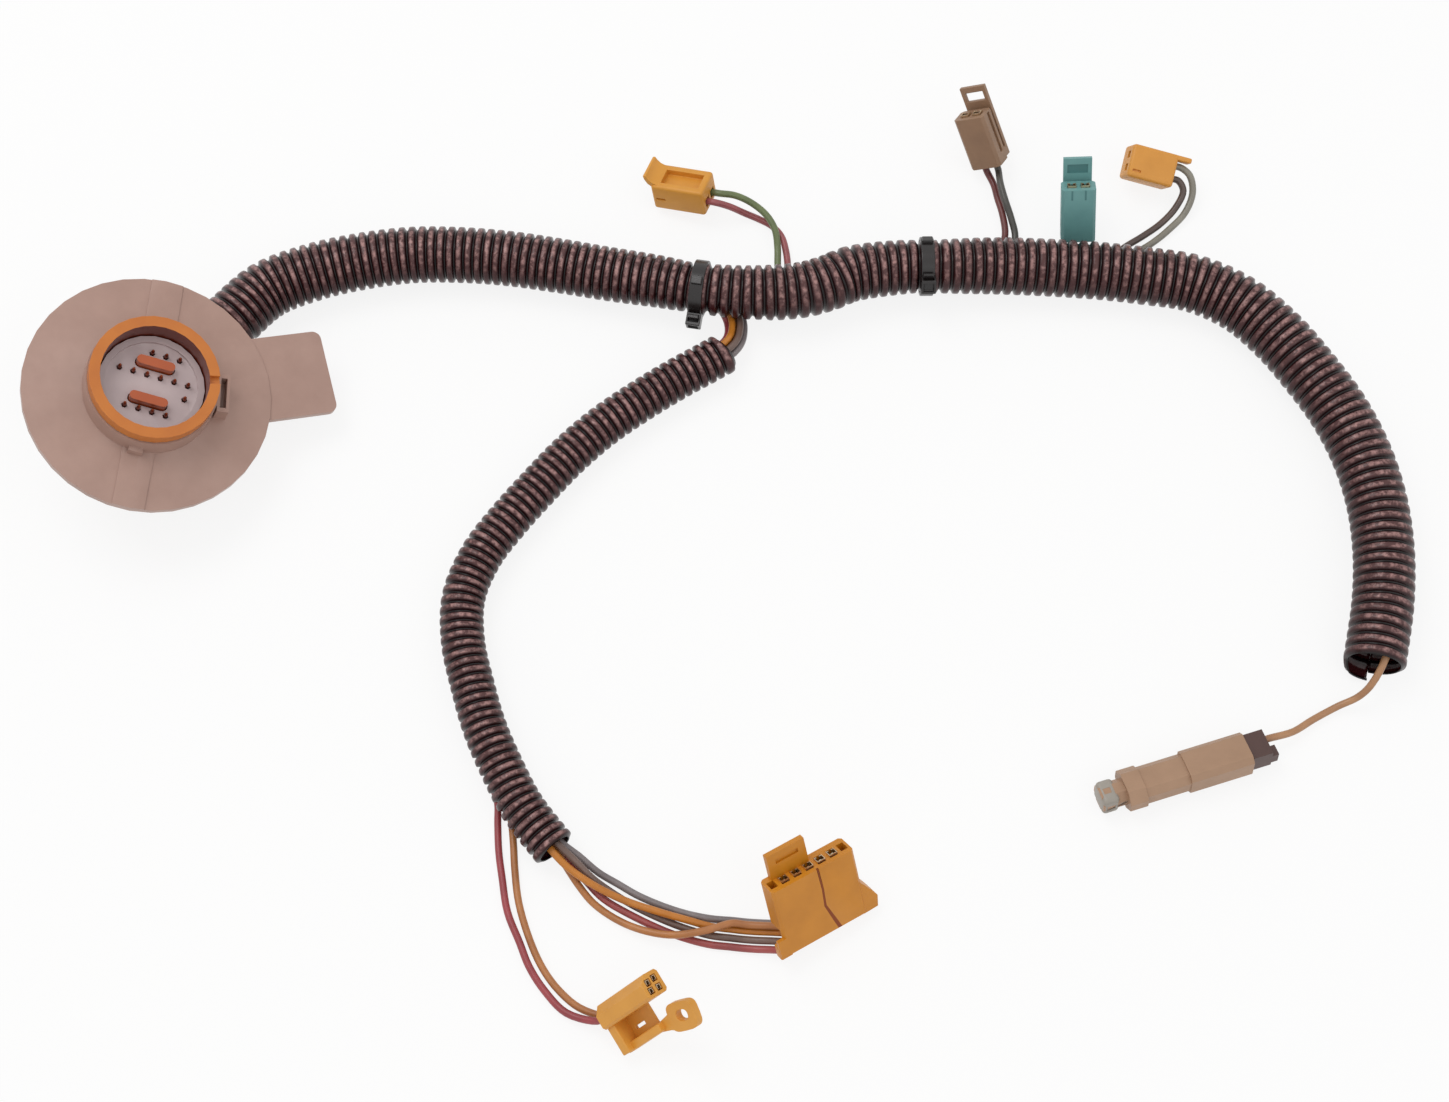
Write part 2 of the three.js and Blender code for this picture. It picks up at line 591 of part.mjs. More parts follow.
// Two-way housing: two cavities, and a latch arm over the body that ends in a tab with a window
function twoWayPlug({ length, tab, flare, longWindow, lug }) {
  const { width, thickness, armGap, arm, hinge, chamfer, window } = TWO_WAY;
  const top = thickness / 2;
  const armTop = top + armGap + arm;
  const half = width / 2;
  const body = prism(chamferedRectangle(width, thickness, chamfer), length);
  const hingeBlock = blockBetween([-half + chamfer, top - 1, 0], [half - chamfer, armTop, hinge]);
  // the arm's side view, from the hinge to the tab, swept across the plug
  const end = length + tab;
  const side = [
    [-hinge + 0.4, armTop - arm], [-end + 3, armTop - arm], [-end, armTop - arm + flare],
    [-end, armTop + flare], [-end + 3, armTop], [-hinge + 0.4, armTop],
  ];
  const armPlate = prism([...side].reverse(), width - 2 * chamfer)
    .translate(0, 0, -half + chamfer)
    .rotateY(Math.PI / 2);
  const slots = [-1, 1].map((hand) => block([1.2, 1.4, length - 4], [hand * (half - 0.3), 0.6, length / 2 + 1.5]));
  const windowEnd = end - 2.0;
  const windows = tab > 3
    ? [blockBetween([-window[0] / 2, top + 0.4, windowEnd - window[1]], [window[0] / 2, armTop + 4, windowEnd])]
    : [];
  if (longWindow) {
    windows.push(blockBetween([-1.4, top + 0.4, hinge + 1], [1.4, armTop + 1, length - 4]));
  }
  const parts = [body, hingeBlock, armPlate];
  if (lug) {
    parts.push(blockBetween([half - 1.6, -top, -4.5], [half, 0.6, 1]));
  }
  return toGeometry(cut(join(...parts), ...twoWayCavities(length), ...slots, ...windows));
}

const TWO_WAY_PLUGS = {
  near_yellow_plug: { length: 18, tab: 0.6, flare: 3.2, longWindow: true, lug: false, colour: COLOURS.yellow },
  tan_plug: { length: 18, tab: 7, flare: 0, longWindow: false, lug: false, colour: COLOURS.tan },
  teal_plug: { length: 18, tab: 7, flare: 0, longWindow: false, lug: false, colour: COLOURS.teal },
  far_yellow_plug: { length: 15.5, tab: 0.6, flare: 0, longWindow: false, lug: true, colour: COLOURS.yellow },
};
Object.entries(TWO_WAY_PLUGS).forEach(([name, { colour, ...form }]) => {
  addPiece(plugs[name], name, twoWayPlug(form), colour, 0.5);
});

// Five-way housing with its crack, its latch tab and the window that takes the leads

function fiveWayPlaces() {
  return [-2, -1, 0, 1, 2].map((index) => index * FIVE_WAY.pitch);
}

function fiveWayPlug() {
  const { width, thickness, length, chamfer, cavity, tab, tabPlace, wing } = FIVE_WAY;
  const x = width / 2;
  const y = thickness / 2;
  const body = prism(chamferedRectangle(width, thickness, chamfer), length);
  const wingBlock = prism([[x - 1, 0.4], [x + wing, 0.4], [x + wing, 4.6], [x - 1, 9.5]], thickness - 2)
    .rotateX(Math.PI / 2)
    .translate(0, y - 1, 0);
  const lug = blockBetween([-x - 2, -y, 0.6], [-x + 1, -y + 1.2, 6.2]);
  const [tabWide, tabLong, tabThick] = tab;
  const tabPlate = blockBetween(
    [tabPlace - tabWide / 2, y - tabThick - 0.4, length - 1],
    [tabPlace + tabWide / 2, y - 0.4, length + tabLong],
  );
  const tabSlot = block([7.4, 6, 1.5], [tabPlace, y, length + tabLong - 3]);
  const cavities = fiveWayPlaces().map((place) => (
    block([cavity[0], cavity[1], cavity[2] * 2], [place, -0.4, length])
  ));
  const endNotches = [-1, 1].map((hand) => block([2.2, 3.2, 8], [hand * (x - 1.9), -0.2, length]));
  // the window lies behind, where the leads come in
  const window = blockBetween([-x - 4, -y + 1.2, -1], [-x + 10.2, y + 1, 8.6]);
  const crackPath = [[1.4, length + 1], [1.6, 16], [1.2, 10], [3.0, 4], [4.2, -1]];
  const crackWidth = 0.7;
  const outline = [
    ...crackPath.map(([px, pz]) => [px - crackWidth / 2, pz]).reverse(),
    ...crackPath.map(([px, pz]) => [px + crackWidth / 2, pz]),
  ];
  const crack = prism(outline, 1.2).rotateX(Math.PI / 2).translate(0, -y + 0.6, 0);
  return toGeometry(cut(
    join(body, wingBlock, lug, tabPlate), tabSlot, ...cavities, ...endNotches, window, crack,
  ));
}

addPiece(plugs.five_way_plug, 'five_way_plug', fiveWayPlug(), COLOURS.amber, 0.5);
fiveWayPlaces().forEach((place, index) => {
  const [wide, tall, deep] = FIVE_WAY.cavity;
  const size = [wide - 2 * GAP, tall - 2 * GAP, deep - GAP - 1.2];
  const bottom = FIVE_WAY.length - deep + GAP;
  const shell = block(size, [place, -0.4, bottom + size[2] / 2]);
  const mouth = block([size[0] - 0.7, size[1] - 0.9, 4], [place, -0.4, bottom + size[2]]);
  addPiece(
    plugs.five_way_plug, `five_way_terminal_${index + 1}`, toGeometry(cut(toSolid(shell), mouth)),
    COLOURS.brass, 0.35, 0.9,
  );
});

// Housing with a drilled arm: body, end wall, thin deck, rail and paddle

function armPlug() {
  const { width, thickness, length, deckGap, rail, deck } = ARM_PLUG;
  const top = thickness / 2;
  const outer = top + deckGap + rail;
  const low = -width / 2;
  const body = prism(chamferedRectangle(width, thickness, 0.8), length);
  const endWall = blockBetween([low, top - 1, 0], [width / 2 - 1.4, outer, 3.0]);
  const deckPlate = blockBetween([low, top - 1, 0], [low + deck, outer, 12.5]);
  const railBlock = blockBetween([low, outer - rail, 0], [low + 4.6, outer, 15.5]);
  const paddle = prism([
    [-14.5, outer - rail], [-14.5, outer - 0.2], [-18.0, outer + 1.4], [-22.0, outer + 3.4],
    [-27.0, outer + 2.6], [-27.5, outer - 4.2], [-22.0, outer - 4.6], [-17.0, outer - rail],
  ], 2.4).rotateY(Math.PI / 2).translate(low, 0, 0);
  const hole = block([8, 2.6, 2.6], [0, 0, 0]).rotateX(Math.PI / 4).translate(low, outer - 0.9, 23.2);
  const deckSlot = block([6, 1.0, 4.4], [low, top + deckGap / 2 + 0.4, 6.4]);
  const cavities = [-1, 1].map((hand) => block([2.9, 2.9, length + 2], [hand * 1.85, 0, length / 2]));
  return toGeometry(cut(
    join(body, endWall, deckPlate, railBlock, paddle), hole, deckSlot, ...cavities,
  ));
}

addPiece(plugs.arm_plug, 'arm_plug', armPlug(), COLOURS.arm, 0.5);

// Sensor plug: a stack of stepped sections toward the slotted tip, with the dark lock at its wire end

const SENSOR_LEAD_PLACE = [-2.3, 0];

function sensorPlug() {
  const { width, thickness, length, barrel, collar, tip } = SENSOR;
  const section = (wide, tall, chamfer, from, deep) => (
    prism(chamferedRectangle(wide, tall, chamfer), deep).translate(0, 0, from)
  );
  const collarFrom = length + barrel;
  const tipFrom = collarFrom + collar;
  const parts = [
    section(width, thickness, 1.6, 0, length),
    section(width - 0.6, thickness - 1.2, 2.0, length - 1, barrel + 2),
    section(width + 1.2, thickness, 3.0, collarFrom, collar),
    section(7.6, 7.0, 2.2, tipFrom - 1, tip + 1),
  ];
  const slots = [-1, 1].map((hand) => block([1.5, 2.2, tip - 2.6], [hand * 3.4, 0, tipFrom + tip / 2 - 0.3]));
  const [x, y] = SENSOR_LEAD_PLACE;
  const bore = block([2.9, 2.9, 14], [x, y, 2]);
  return toGeometry(cut(join(...parts), ...slots, bore));
}

function sensorLock() {
  const { lock } = SENSOR;
  const [x, y] = SENSOR_LEAD_PLACE;
  const body = blockBetween([-4.2, -3.6, -lock - GAP], [4.2, 3.6, -GAP]);
  const lug = blockBetween([0.6, -2.8, -lock - GAP - 2.2], [4.0, 1.2, -lock]);
  return toGeometry(cut(join(body, lug), block([2.9, 2.9, 30], [x, y, 0])));
}

addPiece(plugs.sensor_plug, 'sensor_plug', sensorPlug(), COLOURS.sensor, 0.55);
addPiece(plugs.sensor_plug, 'sensor_lock', sensorLock(), COLOURS.lock, 0.6);

// Leads: each keeps its lane inside the looms, then takes its own free run to its plug

const twoWayEntry = (hand) => [hand * TWO_WAY.cavityPitch / 2, 0];
const armEntry = (hand) => [hand * 1.85, 0];

const MAIN_LEADS = {
  near_yellow_lead_green: {
    colour: 0x4f6b4a, lane: [1, -2], last: 174, plug: 'near_yellow_plug', entry: twoWayEntry(-1),
    run: [
      [9.0, 85.2, 7.2], [14.3, 88.4, 3.4], [16.8, 93.4, 1.5], [17.0, 99.3, 1.2], [17.0, 104.2, 1.8],
      [16.2, 109.5, 3.8], [13.4, 114.4, 4.8], [8.6, 118.2, 6.0], [3.4, 119.7, 8.0],
    ],
  },
  near_yellow_lead_red: {
    colour: 0x9c4a4a, lane: [1.5, -1], last: 174, plug: 'near_yellow_plug', entry: twoWayEntry(1),
    run: [
      [9.6, 86.6, 9.0], [16.3, 87.8, 6.0], [19.8, 92.6, 2.5], [20.2, 98.0, 1.3], [19.6, 103.8, 1.2],
      [18.2, 108.8, 1.2], [15.0, 112.6, 1.2], [11.6, 114.6, 1.3], [6.6, 115.8, 3.4], [1.6, 116.2, 7.0],
    ],
  },
  tan_lead_red: {
    colour: 0x8d4038, lane: [2, 0], last: 246, plug: 'tan_plug', entry: twoWayEntry(-1),
    run: [
      [76.5, 97.7, 8.2], [80.4, 97.9, 5.0], [84.6, 100.0, 2.2], [88.4, 104.0, 1.4], [90.2, 109.0, 1.4],
      [89.6, 116.0, 2.2], [88.2, 122.0, 2.4], [87.2, 127.4, 2.0],
    ],
  },
  tan_lead_dark: {
    colour: 0x3d4038, lane: [1.5, 1], last: 246, plug: 'tan_plug', entry: twoWayEntry(1),
    run: [
      [76.5, 97.7, 12.0], [80.5, 97.8, 9.6], [84.4, 97.8, 5.7], [88.2, 99.4, 2.4], [91.9, 103.0, 1.4], [93.4, 108.4, 1.5],
      [92.2, 114.0, 3.2], [90.2, 120.0, 5.2], [88.9, 126.0, 5.6],
    ],
  },
  teal_lead_one: {
    colour: 0x3d4038, lane: [1, 0], last: 258, plug: 'teal_plug', entry: twoWayEntry(-1),
    run: [[93.5, 97.8, 8.0], [98.0, 97.8, 5.2], [102.6, 99.8, 2.2], [107.2, 102.0, 1.3], [110.6, 104.2, 1.3]],
  },
  teal_lead_two: {
    colour: 0x8d8a80, lane: [0.5, 1], last: 258, plug: 'teal_plug', entry: twoWayEntry(1),
    run: [[98.6, 97.4, 9.0], [103.0, 97.4, 5.2], [107.8, 98.6, 2.3], [112.6, 100.9, 1.3], [114.9, 103.2, 1.3]],
  },
  far_yellow_lead_light: {
    colour: 0x9c9a8c, lane: [0, 2], last: 270, plug: 'far_yellow_plug', entry: twoWayEntry(1),
    run: [
      [106.0, 93.0, 12.4], [113.5, 94.8, 9.0], [119.4, 96.4, 5.2], [124.2, 97.8, 2.2],
      [128.8, 100.2, 1.3], [132.6, 103.0, 1.2], [137.4, 106.2, 1.2], [142.8, 110.8, 1.3],
      [148.4, 116.6, 2.4], [150.8, 122.4, 5.0], [149.8, 127.2, 7.6],
    ],
  },
  far_yellow_lead_dark: {
    colour: 0x5a4a44, lane: [-0.5, 1], last: 270, plug: 'far_yellow_plug', entry: twoWayEntry(-1),
    run: [
      [101.5, 93.4, 10.0], [108.5, 95.6, 8.4], [114.6, 96.8, 5.2], [119.6, 98.4, 2.2],
      [124.4, 101.4, 1.4], [128.6, 104.8, 1.2], [134.4, 108.6, 1.2], [140.6, 113.2, 1.5],
      [145.4, 118.2, 2.8], [147.8, 123.0, 5.2],
    ],
  },
  sensor_lead: {
    colour: 0xb5835a, lane: [1, 2], last: 470, plug: 'sensor_plug', entry: SENSOR_LEAD_PLACE, wireEnd: -SENSOR.lock,
    run: [
      [190.6, -45.8, 9.0], [187.2, -48.6, 5.4], [181.6, -50.6, 2.4], [174.0, -54.6, 2.0],
      [167.4, -58.8, 3.4],
    ],
  },
};

const BRANCH_LEADS = {
  arm_lead_red: {
    colour: 0xa8454a, lane: [-1, 0], last: 190, plug: 'arm_plug', entry: armEntry(1),
    run: [
      [-68.6, -69.9, 5.6], [-67.7, -75.1, 4.2], [-66.2, -80.1, 1.9], [-66.0, -86.0, 1.2],
      [-65.4, -94.5, 1.2], [-64.2, -102.1, 1.2], [-62.3, -112.2, 1.2], [-58.5, -121.2, 1.3],
      [-55.6, -128.1, 1.4], [-51.0, -135.0, 1.4], [-44.6, -141.4, 1.9],
    ],
  },
  arm_lead_brown: {
    colour: 0xb5722f, lane: [-0.5, -1], last: 200, plug: 'arm_plug', entry: armEntry(-1),
    run: [
      [-63.8, -76.5, 3.2], [-62.8, -81.9, 1.6], [-61.9, -86.5, 1.2], [-61.2, -92.5, 1.2],
      [-60.6, -99.6, 1.2], [-59.1, -109.7, 1.2], [-55.4, -121.0, 1.2], [-51.7, -128.6, 1.2],
      [-47.2, -134.6, 1.2], [-41.0, -139.8, 1.2],
    ],
  },
};

const FIVE_WAY_LEADS = {
  five_way_lead_grey: {
    colour: 0x83807a, lane: [1, 0], tail: [1.5, -0.5],
    run: [
      [-41.9, -96.7, 4.6], [-36.4, -100.8, 1.8], [-30.8, -104.0, 1.2], [-24.0, -107.9, 1.2],
      [-13.0, -112.2, 1.2], [-4.0, -114.2, 1.2],
    ],
  },
  five_way_lead_brown: {
    colour: 0x6b5a52, lane: [0.5, 1], tail: [-0.5, -0.5],
    run: [
      [-43.0, -98.6, 7.2], [-38.0, -103.0, 3.9], [-33.0, -106.2, 1.4], [-25.0, -111.0, 1.2],
      [-14.0, -116.0, 1.2], [-4.4, -119.0, 1.2],
    ],
  },
  five_way_lead_red: {
    colour: 0xa8454a, lane: [0.5, -1], tail: [-1.5, -0.5],
    run: [
      [-43.6, -98.9, 2.2], [-39.4, -103.8, 1.2], [-34.8, -108.4, 1.2], [-26.0, -113.6, 1.2],
      [-15.0, -118.6, 1.2], [-4.8, -121.6, 1.2],
    ],
  },
  five_way_lead_amber: {
    colour: 0xb07a4a, lane: [0, 0], tail: [1, 0.5],
    run: [
      [-45.6, -99.8, 5.4], [-42.0, -104.8, 2.9], [-37.6, -109.8, 1.4], [-30.0, -115.0, 1.5],
      [-22.0, -118.4, 3.4], [-14.0, -119.6, 4.2], [-5.0, -118.2, 4.2],
    ],
  },
  five_way_lead_orange: {
    colour: 0xc9772f, lane: [-0.5, 1], tail: [0.5, -0.5],
    run: [
      [-45.4, -100.4, 8.2], [-39.0, -104.6, 5.8], [-29.4, -109.2, 3.9], [-18.2, -113.0, 3.8],
      [-11.0, -114.9, 3.0], [-4.0, -116.6, 1.9],
    ],
  },
};

const leadSection = new THREE.Shape(Array.from({ length: LEAD.sides }, (_, index) => {
  const angle = 2 * Math.PI * (index + 0.5) / LEAD.sides;
  return new THREE.Vector2(Math.cos(angle), Math.sin(angle)).multiplyScalar(LEAD.diameter / 2);
}));

function leadTube(points) {
  const extrudePath = new StationCurve(points, false, 'centripetal');
  return new THREE.ExtrudeGeometry(leadSection, { steps: points.length - 1, extrudePath, bevelEnabled: false });
}

function lanePoints(route, stations, [across, rise]) {
  return stations.map((station) => route.point(station, across * lane, rise * laneRow));
}

// Stations at even spacing, from one to the other, both included
function evenStations(from, to, longest) {
  const count = Math.max(1, Math.ceil((to - from) / longest));
  return Array.from({ length: count + 1 }, (_, index) => from + (to - from) * index / count);
}

function intoPlug(name, [x, y], wireEnd) {
  const depths = [-2.5, 0.5, TERMINAL.from + 0.5];
  return depths.map((depth) => new THREE.Vector3(x, y, wireEnd + depth).applyMatrix4(plugs[name].matrix));
}

function leadWithTerminal(points, name, [x, y], wireEnd) {
  const { size, length, from } = TERMINAL;
  const terminal = block([size, size, length], [x, y, wireEnd + from + length / 2]).applyMatrix4(plugs[name].matrix);
  return toGeometry(join(leadTube(points), terminal));
}

const nearStations = [STATIONS.leadStart, ...HIDDEN_STATIONS];
const bendStations = [...evenStations(162, 270, 12), ...evenStations(287, 470, 17)];

Object.entries(MAIN_LEADS).forEach(([name, { colour, lane: place, last, plug, entry, run, wireEnd = 0 }]) => {
  const hidden = [...nearStations, ...bendStations.filter((station) => station < last - 10), last];
  const points = [
    ...lanePoints(main, hidden, place), ...run.map(vector), ...intoPlug(plug, entry, wireEnd),
  ];
  addPiece(harness, name, leadWithTerminal(points, plug, entry, wireEnd), colour, 0.6);
});

// A branch lead keeps its place about the bundle's middle from the connector on
const branchBend = [0, 7, 12, 17, 22, 28, 38];

function branchPoints([across, rise], last) {
  const inMain = [across - 0.5, rise - 1];
  const rest = evenStations(branchBend.at(-1) + 16, branch.length - 1, 16);
  return [
    ...lanePoints(main, nearStations, inMain),
    ...lanePoints(branch, [...branchBend, ...rest.filter((station) => station <= last)], [across, rise]),
  ];
}

Object.entries(BRANCH_LEADS).forEach(([name, { colour, lane: place, last, plug, entry, run }]) => {
  const points = [...branchPoints(place, last), ...run.map(vector), ...intoPlug(plug, entry, 0)];
  addPiece(harness, name, leadWithTerminal(points, plug, entry, 0), colour, 0.6);
});
Object.entries(FIVE_WAY_LEADS).forEach(([name, { colour, lane: place, tail, run }]) => {
  const points = [
    ...branchPoints(place, branch.length - 1),
    ...run.map(vector),
    ...lanePoints(fiveWayTail, evenStations(0, fiveWayTail.length, 4.4), tail),
  ];
  addPiece(harness, name, leadTube(points), colour, 0.6);
});

harness.position.set(-LAYOUT_CENTRE[0], -LAYOUT_CENTRE[1], 0);

export default harness;
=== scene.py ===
import math

import bmesh
import bpy
from mathutils import Euler, Matrix, Vector

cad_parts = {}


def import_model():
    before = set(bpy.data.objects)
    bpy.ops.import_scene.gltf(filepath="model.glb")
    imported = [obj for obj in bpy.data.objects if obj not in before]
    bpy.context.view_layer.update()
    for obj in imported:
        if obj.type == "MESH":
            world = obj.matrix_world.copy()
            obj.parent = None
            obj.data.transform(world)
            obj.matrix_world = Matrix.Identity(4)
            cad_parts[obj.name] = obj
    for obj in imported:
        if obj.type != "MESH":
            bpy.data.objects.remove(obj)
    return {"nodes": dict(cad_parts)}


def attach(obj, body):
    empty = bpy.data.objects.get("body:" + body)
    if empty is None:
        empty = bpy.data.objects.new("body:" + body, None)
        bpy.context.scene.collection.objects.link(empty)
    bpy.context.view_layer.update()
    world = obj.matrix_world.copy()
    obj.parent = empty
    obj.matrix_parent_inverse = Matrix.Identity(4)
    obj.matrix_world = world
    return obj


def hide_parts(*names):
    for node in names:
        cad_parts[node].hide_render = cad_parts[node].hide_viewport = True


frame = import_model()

bl_info = {
    "name": "Wiring harness",
    "version": (1, 0, 0),
    "blender": (4, 5, 0),
    "location": "View3D > Sidebar > Harness",
    "description": "Dresses the wiring harness: looms, leads, ties, connector and plugs",
    "category": "Object",
}

MM = 0.001
LAYOUT_CENTRE = Vector((-0.06, -0.52, 0.0))  # middle of the plan outline on the layout grid, in mm
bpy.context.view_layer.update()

# Sizes shared with the solids, in millimetres on the layout grid

LEAD_DIAMETER = 2.2
LANE = LEAD_DIAMETER + 0.35
LANE_ROW = LANE * math.sqrt(3) / 2
TIE_STATION = 169.0
MIDDLE_TIE_STATION = 242.0
BRANCH_LEAVES = 172.0
CUT_REACH = 2.6
SLIT_HALF_ANGLE = 0.3
OPENING_EASE = 4.5
BRANCH_TUBE_START = 31.5
TIE_WIDTH = 4.2
TIE_THICKNESS = 1.0
CONNECTOR_PLACE = (-171.6, 38.1, 33.0)
CONNECTOR_TURNS = (10.4, 19.0, 18.4)  # degrees about X, then Y, then Z
SHELL_INNER_RADIUS = 15.9
BAR_REACH = 12.5  # radius that holds both index bars

MAIN_ROUTE = [
    (-163.4, 62.2, 11.4), (-154.2, 72.8, 11.1), (-143.5, 84.3, 10.4), (-129.6, 90.9, 9.8),
    (-114.7, 94.9, 9.5), (-99.3, 97.2, 9.4), (-83.7, 97.3, 9.3), (-68.1, 96.0, 9.3),
    (-52.5, 93.5, 9.3), (-37.1, 90.5, 9.5), (-21.6, 87.5, 10.2), (-6.6, 84.1, 11.2),
    (8.9, 82.6, 11.5), (24.4, 83.8, 11.3), (33.2, 86.7, 11.0), (39.5, 89.6, 10.8),
    (55.1, 92.2, 10.5), (70.7, 92.6, 10.5), (86.3, 93.0, 10.0), (101.8, 92.7, 9.5),
    (117.4, 91.7, 9.3), (132.7, 89.8, 9.3), (148.0, 87.0, 9.3), (161.6, 79.9, 9.3),
    (172.5, 69.0, 9.3), (181.5, 56.1, 9.3), (189.3, 42.5, 9.3), (194.8, 27.7, 9.4),
    (197.8, 12.0, 9.4), (198.2, -4.0, 9.4), (196.4, -19.9, 9.4), (192.9, -35.4, 9.4),
    (191.2, -42.3, 9.4),
]
BRANCH_ROUTE = [
    (0.5, 80.5, 7.1), (3.2, 76.5, 5.2), (3.6, 71.5, 5.5), (2.2, 67.0, 6.8), (-0.2, 63.8, 7.2),
    (-4.0, 61.3, 7.1), (-14.9, 54.9, 6.8), (-26.6, 47.0, 6.8), (-37.7, 38.5, 6.8),
    (-47.9, 28.7, 6.8), (-57.0, 18.1, 6.8), (-65.7, 7.2, 6.8), (-73.4, -4.3, 6.8),
    (-78.1, -17.5, 6.8), (-77.8, -31.6, 6.8), (-74.5, -45.2, 6.8), (-70.4, -58.4, 6.8),
    (-64.9, -70.8, 6.8), (-58.6, -82.6, 6.8), (-50.5, -93.1, 6.8), (-48.7, -95.2, 6.8),
]
FIVE_WAY_TAIL = [(2.0, -118.6, 2.5), (7.5, -119.2, 2.6), (12.0, -119.6, 3.6), (18.6, -120.7, 7.2)]

# A plug's own +Z runs from its wire end to its mating end: place, heading, pitch and roll
PLUG_POSES = {
    "near_yellow_plug": ((-4.6, 118.8, 8.7), 162.2, -12.7, 12.4),
    "tan_plug": ((85.9, 132.7, 5.9), 122.9, 46.7, 124.8),
    "teal_plug": ((112.9, 106.4, 4.5), 96.4, 55.5, 171.2),
    "far_yellow_plug": ((144.2, 128.0, 8.3), 171.4, 13.8, 156.4),
    "five_way_plug": ((27.7, -117.4, 4.4), 109.7, 53.5, 193.8),
    "arm_plug": ((-33.0, -142.6, 5.2), 22.7, 48.2, 102.8),
    "sensor_plug": ((152.6, -66.0, 5.6), 197.5, 0.0, 12.0),
}

# Main leads: node, lane across and up, last station inside the loom, plug, place in the plug, free run
MAIN_LEADS = [
    ("near_yellow_lead_green", (1, -2), 174, "near_yellow_plug", (-2.1, 0), 0, [
        (9.0, 85.2, 7.2), (14.3, 88.4, 3.4), (16.8, 93.4, 1.5), (17.0, 99.3, 1.2), (17.0, 104.2, 1.8),
        (16.2, 109.5, 3.8), (13.4, 114.4, 4.8), (8.6, 118.2, 6.0), (3.4, 119.7, 8.0)]),
    ("near_yellow_lead_red", (1.5, -1), 174, "near_yellow_plug", (2.1, 0), 0, [
        (9.6, 86.6, 9.0), (16.3, 87.8, 6.0), (19.8, 92.6, 2.5), (20.2, 98.0, 1.3), (19.6, 103.8, 1.2),
        (18.2, 108.8, 1.2), (15.0, 112.6, 1.2), (11.6, 114.6, 1.3), (6.6, 115.8, 3.4), (1.6, 116.2, 7.0)]),
    ("tan_lead_red", (2, 0), 246, "tan_plug", (-2.1, 0), 0, [
        (76.5, 97.7, 8.2), (80.4, 97.9, 5.0), (84.6, 100.0, 2.2), (88.4, 104.0, 1.4), (90.2, 109.0, 1.4),
        (89.6, 116.0, 2.2), (88.2, 122.0, 2.4), (87.2, 127.4, 2.0)]),
    ("tan_lead_dark", (1.5, 1), 246, "tan_plug", (2.1, 0), 0, [
        (76.5, 97.7, 12.0), (80.5, 97.8, 9.6), (84.4, 97.8, 5.7), (88.2, 99.4, 2.4), (91.9, 103.0, 1.4),
        (93.4, 108.4, 1.5), (92.2, 114.0, 3.2), (90.2, 120.0, 5.2), (88.9, 126.0, 5.6)]),
    ("teal_lead_one", (1, 0), 258, "teal_plug", (-2.1, 0), 0, [
        (93.5, 97.8, 8.0), (98.0, 97.8, 5.2), (102.6, 99.8, 2.2), (107.2, 102.0, 1.3), (110.6, 104.2, 1.3)]),
    ("teal_lead_two", (0.5, 1), 258, "teal_plug", (2.1, 0), 0, [
        (98.6, 97.4, 9.0), (103.0, 97.4, 5.2), (107.8, 98.6, 2.3), (112.6, 100.9, 1.3), (114.9, 103.2, 1.3)]),
    ("far_yellow_lead_light", (0, 2), 270, "far_yellow_plug", (2.1, 0), 0, [
        (106.0, 93.0, 12.4), (113.5, 94.8, 9.0), (119.4, 96.4, 5.2), (124.2, 97.8, 2.2),
        (128.8, 100.2, 1.3), (132.6, 103.0, 1.2), (137.4, 106.2, 1.2), (142.8, 110.8, 1.3),
        (148.4, 116.6, 2.4), (150.8, 122.4, 5.0), (149.8, 127.2, 7.6)]),
    ("far_yellow_lead_dark", (-0.5, 1), 270, "far_yellow_plug", (-2.1, 0), 0, [
        (101.5, 93.4, 10.0), (108.5, 95.6, 8.4), (114.6, 96.8, 5.2), (119.6, 98.4, 2.2),
        (124.4, 101.4, 1.4), (128.6, 104.8, 1.2), (134.4, 108.6, 1.2), (140.6, 113.2, 1.5),
        (145.4, 118.2, 2.8), (147.8, 123.0, 5.2)]),
    ("sensor_lead", (1, 2), 470, "sensor_plug", (-2.3, 0), -6, [
        (190.6, -45.8, 9.0), (187.2, -48.6, 5.4), (181.6, -50.6, 2.4), (174.0, -54.6, 2.0),
        (167.4, -58.8, 3.4)]),
]
BRANCH_LEADS = [
    ("arm_lead_red", (-1, 0), 190, "arm_plug", (1.85, 0), 0, [
        (-68.6, -69.9, 5.6), (-67.7, -75.1, 4.2), (-66.2, -80.1, 1.9), (-66.0, -86.0, 1.2),
        (-65.4, -94.5, 1.2), (-64.2, -102.1, 1.2), (-62.3, -112.2, 1.2), (-58.5, -121.2, 1.3),
        (-55.6, -128.1, 1.4), (-51.0, -135.0, 1.4), (-44.6, -141.4, 1.9)]),
    ("arm_lead_brown", (-0.5, -1), 200, "arm_plug", (-1.85, 0), 0, [
        (-63.8, -76.5, 3.2), (-62.8, -81.9, 1.6), (-61.9, -86.5, 1.2), (-61.2, -92.5, 1.2),
        (-60.6, -99.6, 1.2), (-59.1, -109.7, 1.2), (-55.4, -121.0, 1.2), (-51.7, -128.6, 1.2),
        (-47.2, -134.6, 1.2), (-41.0, -139.8, 1.2)]),
]
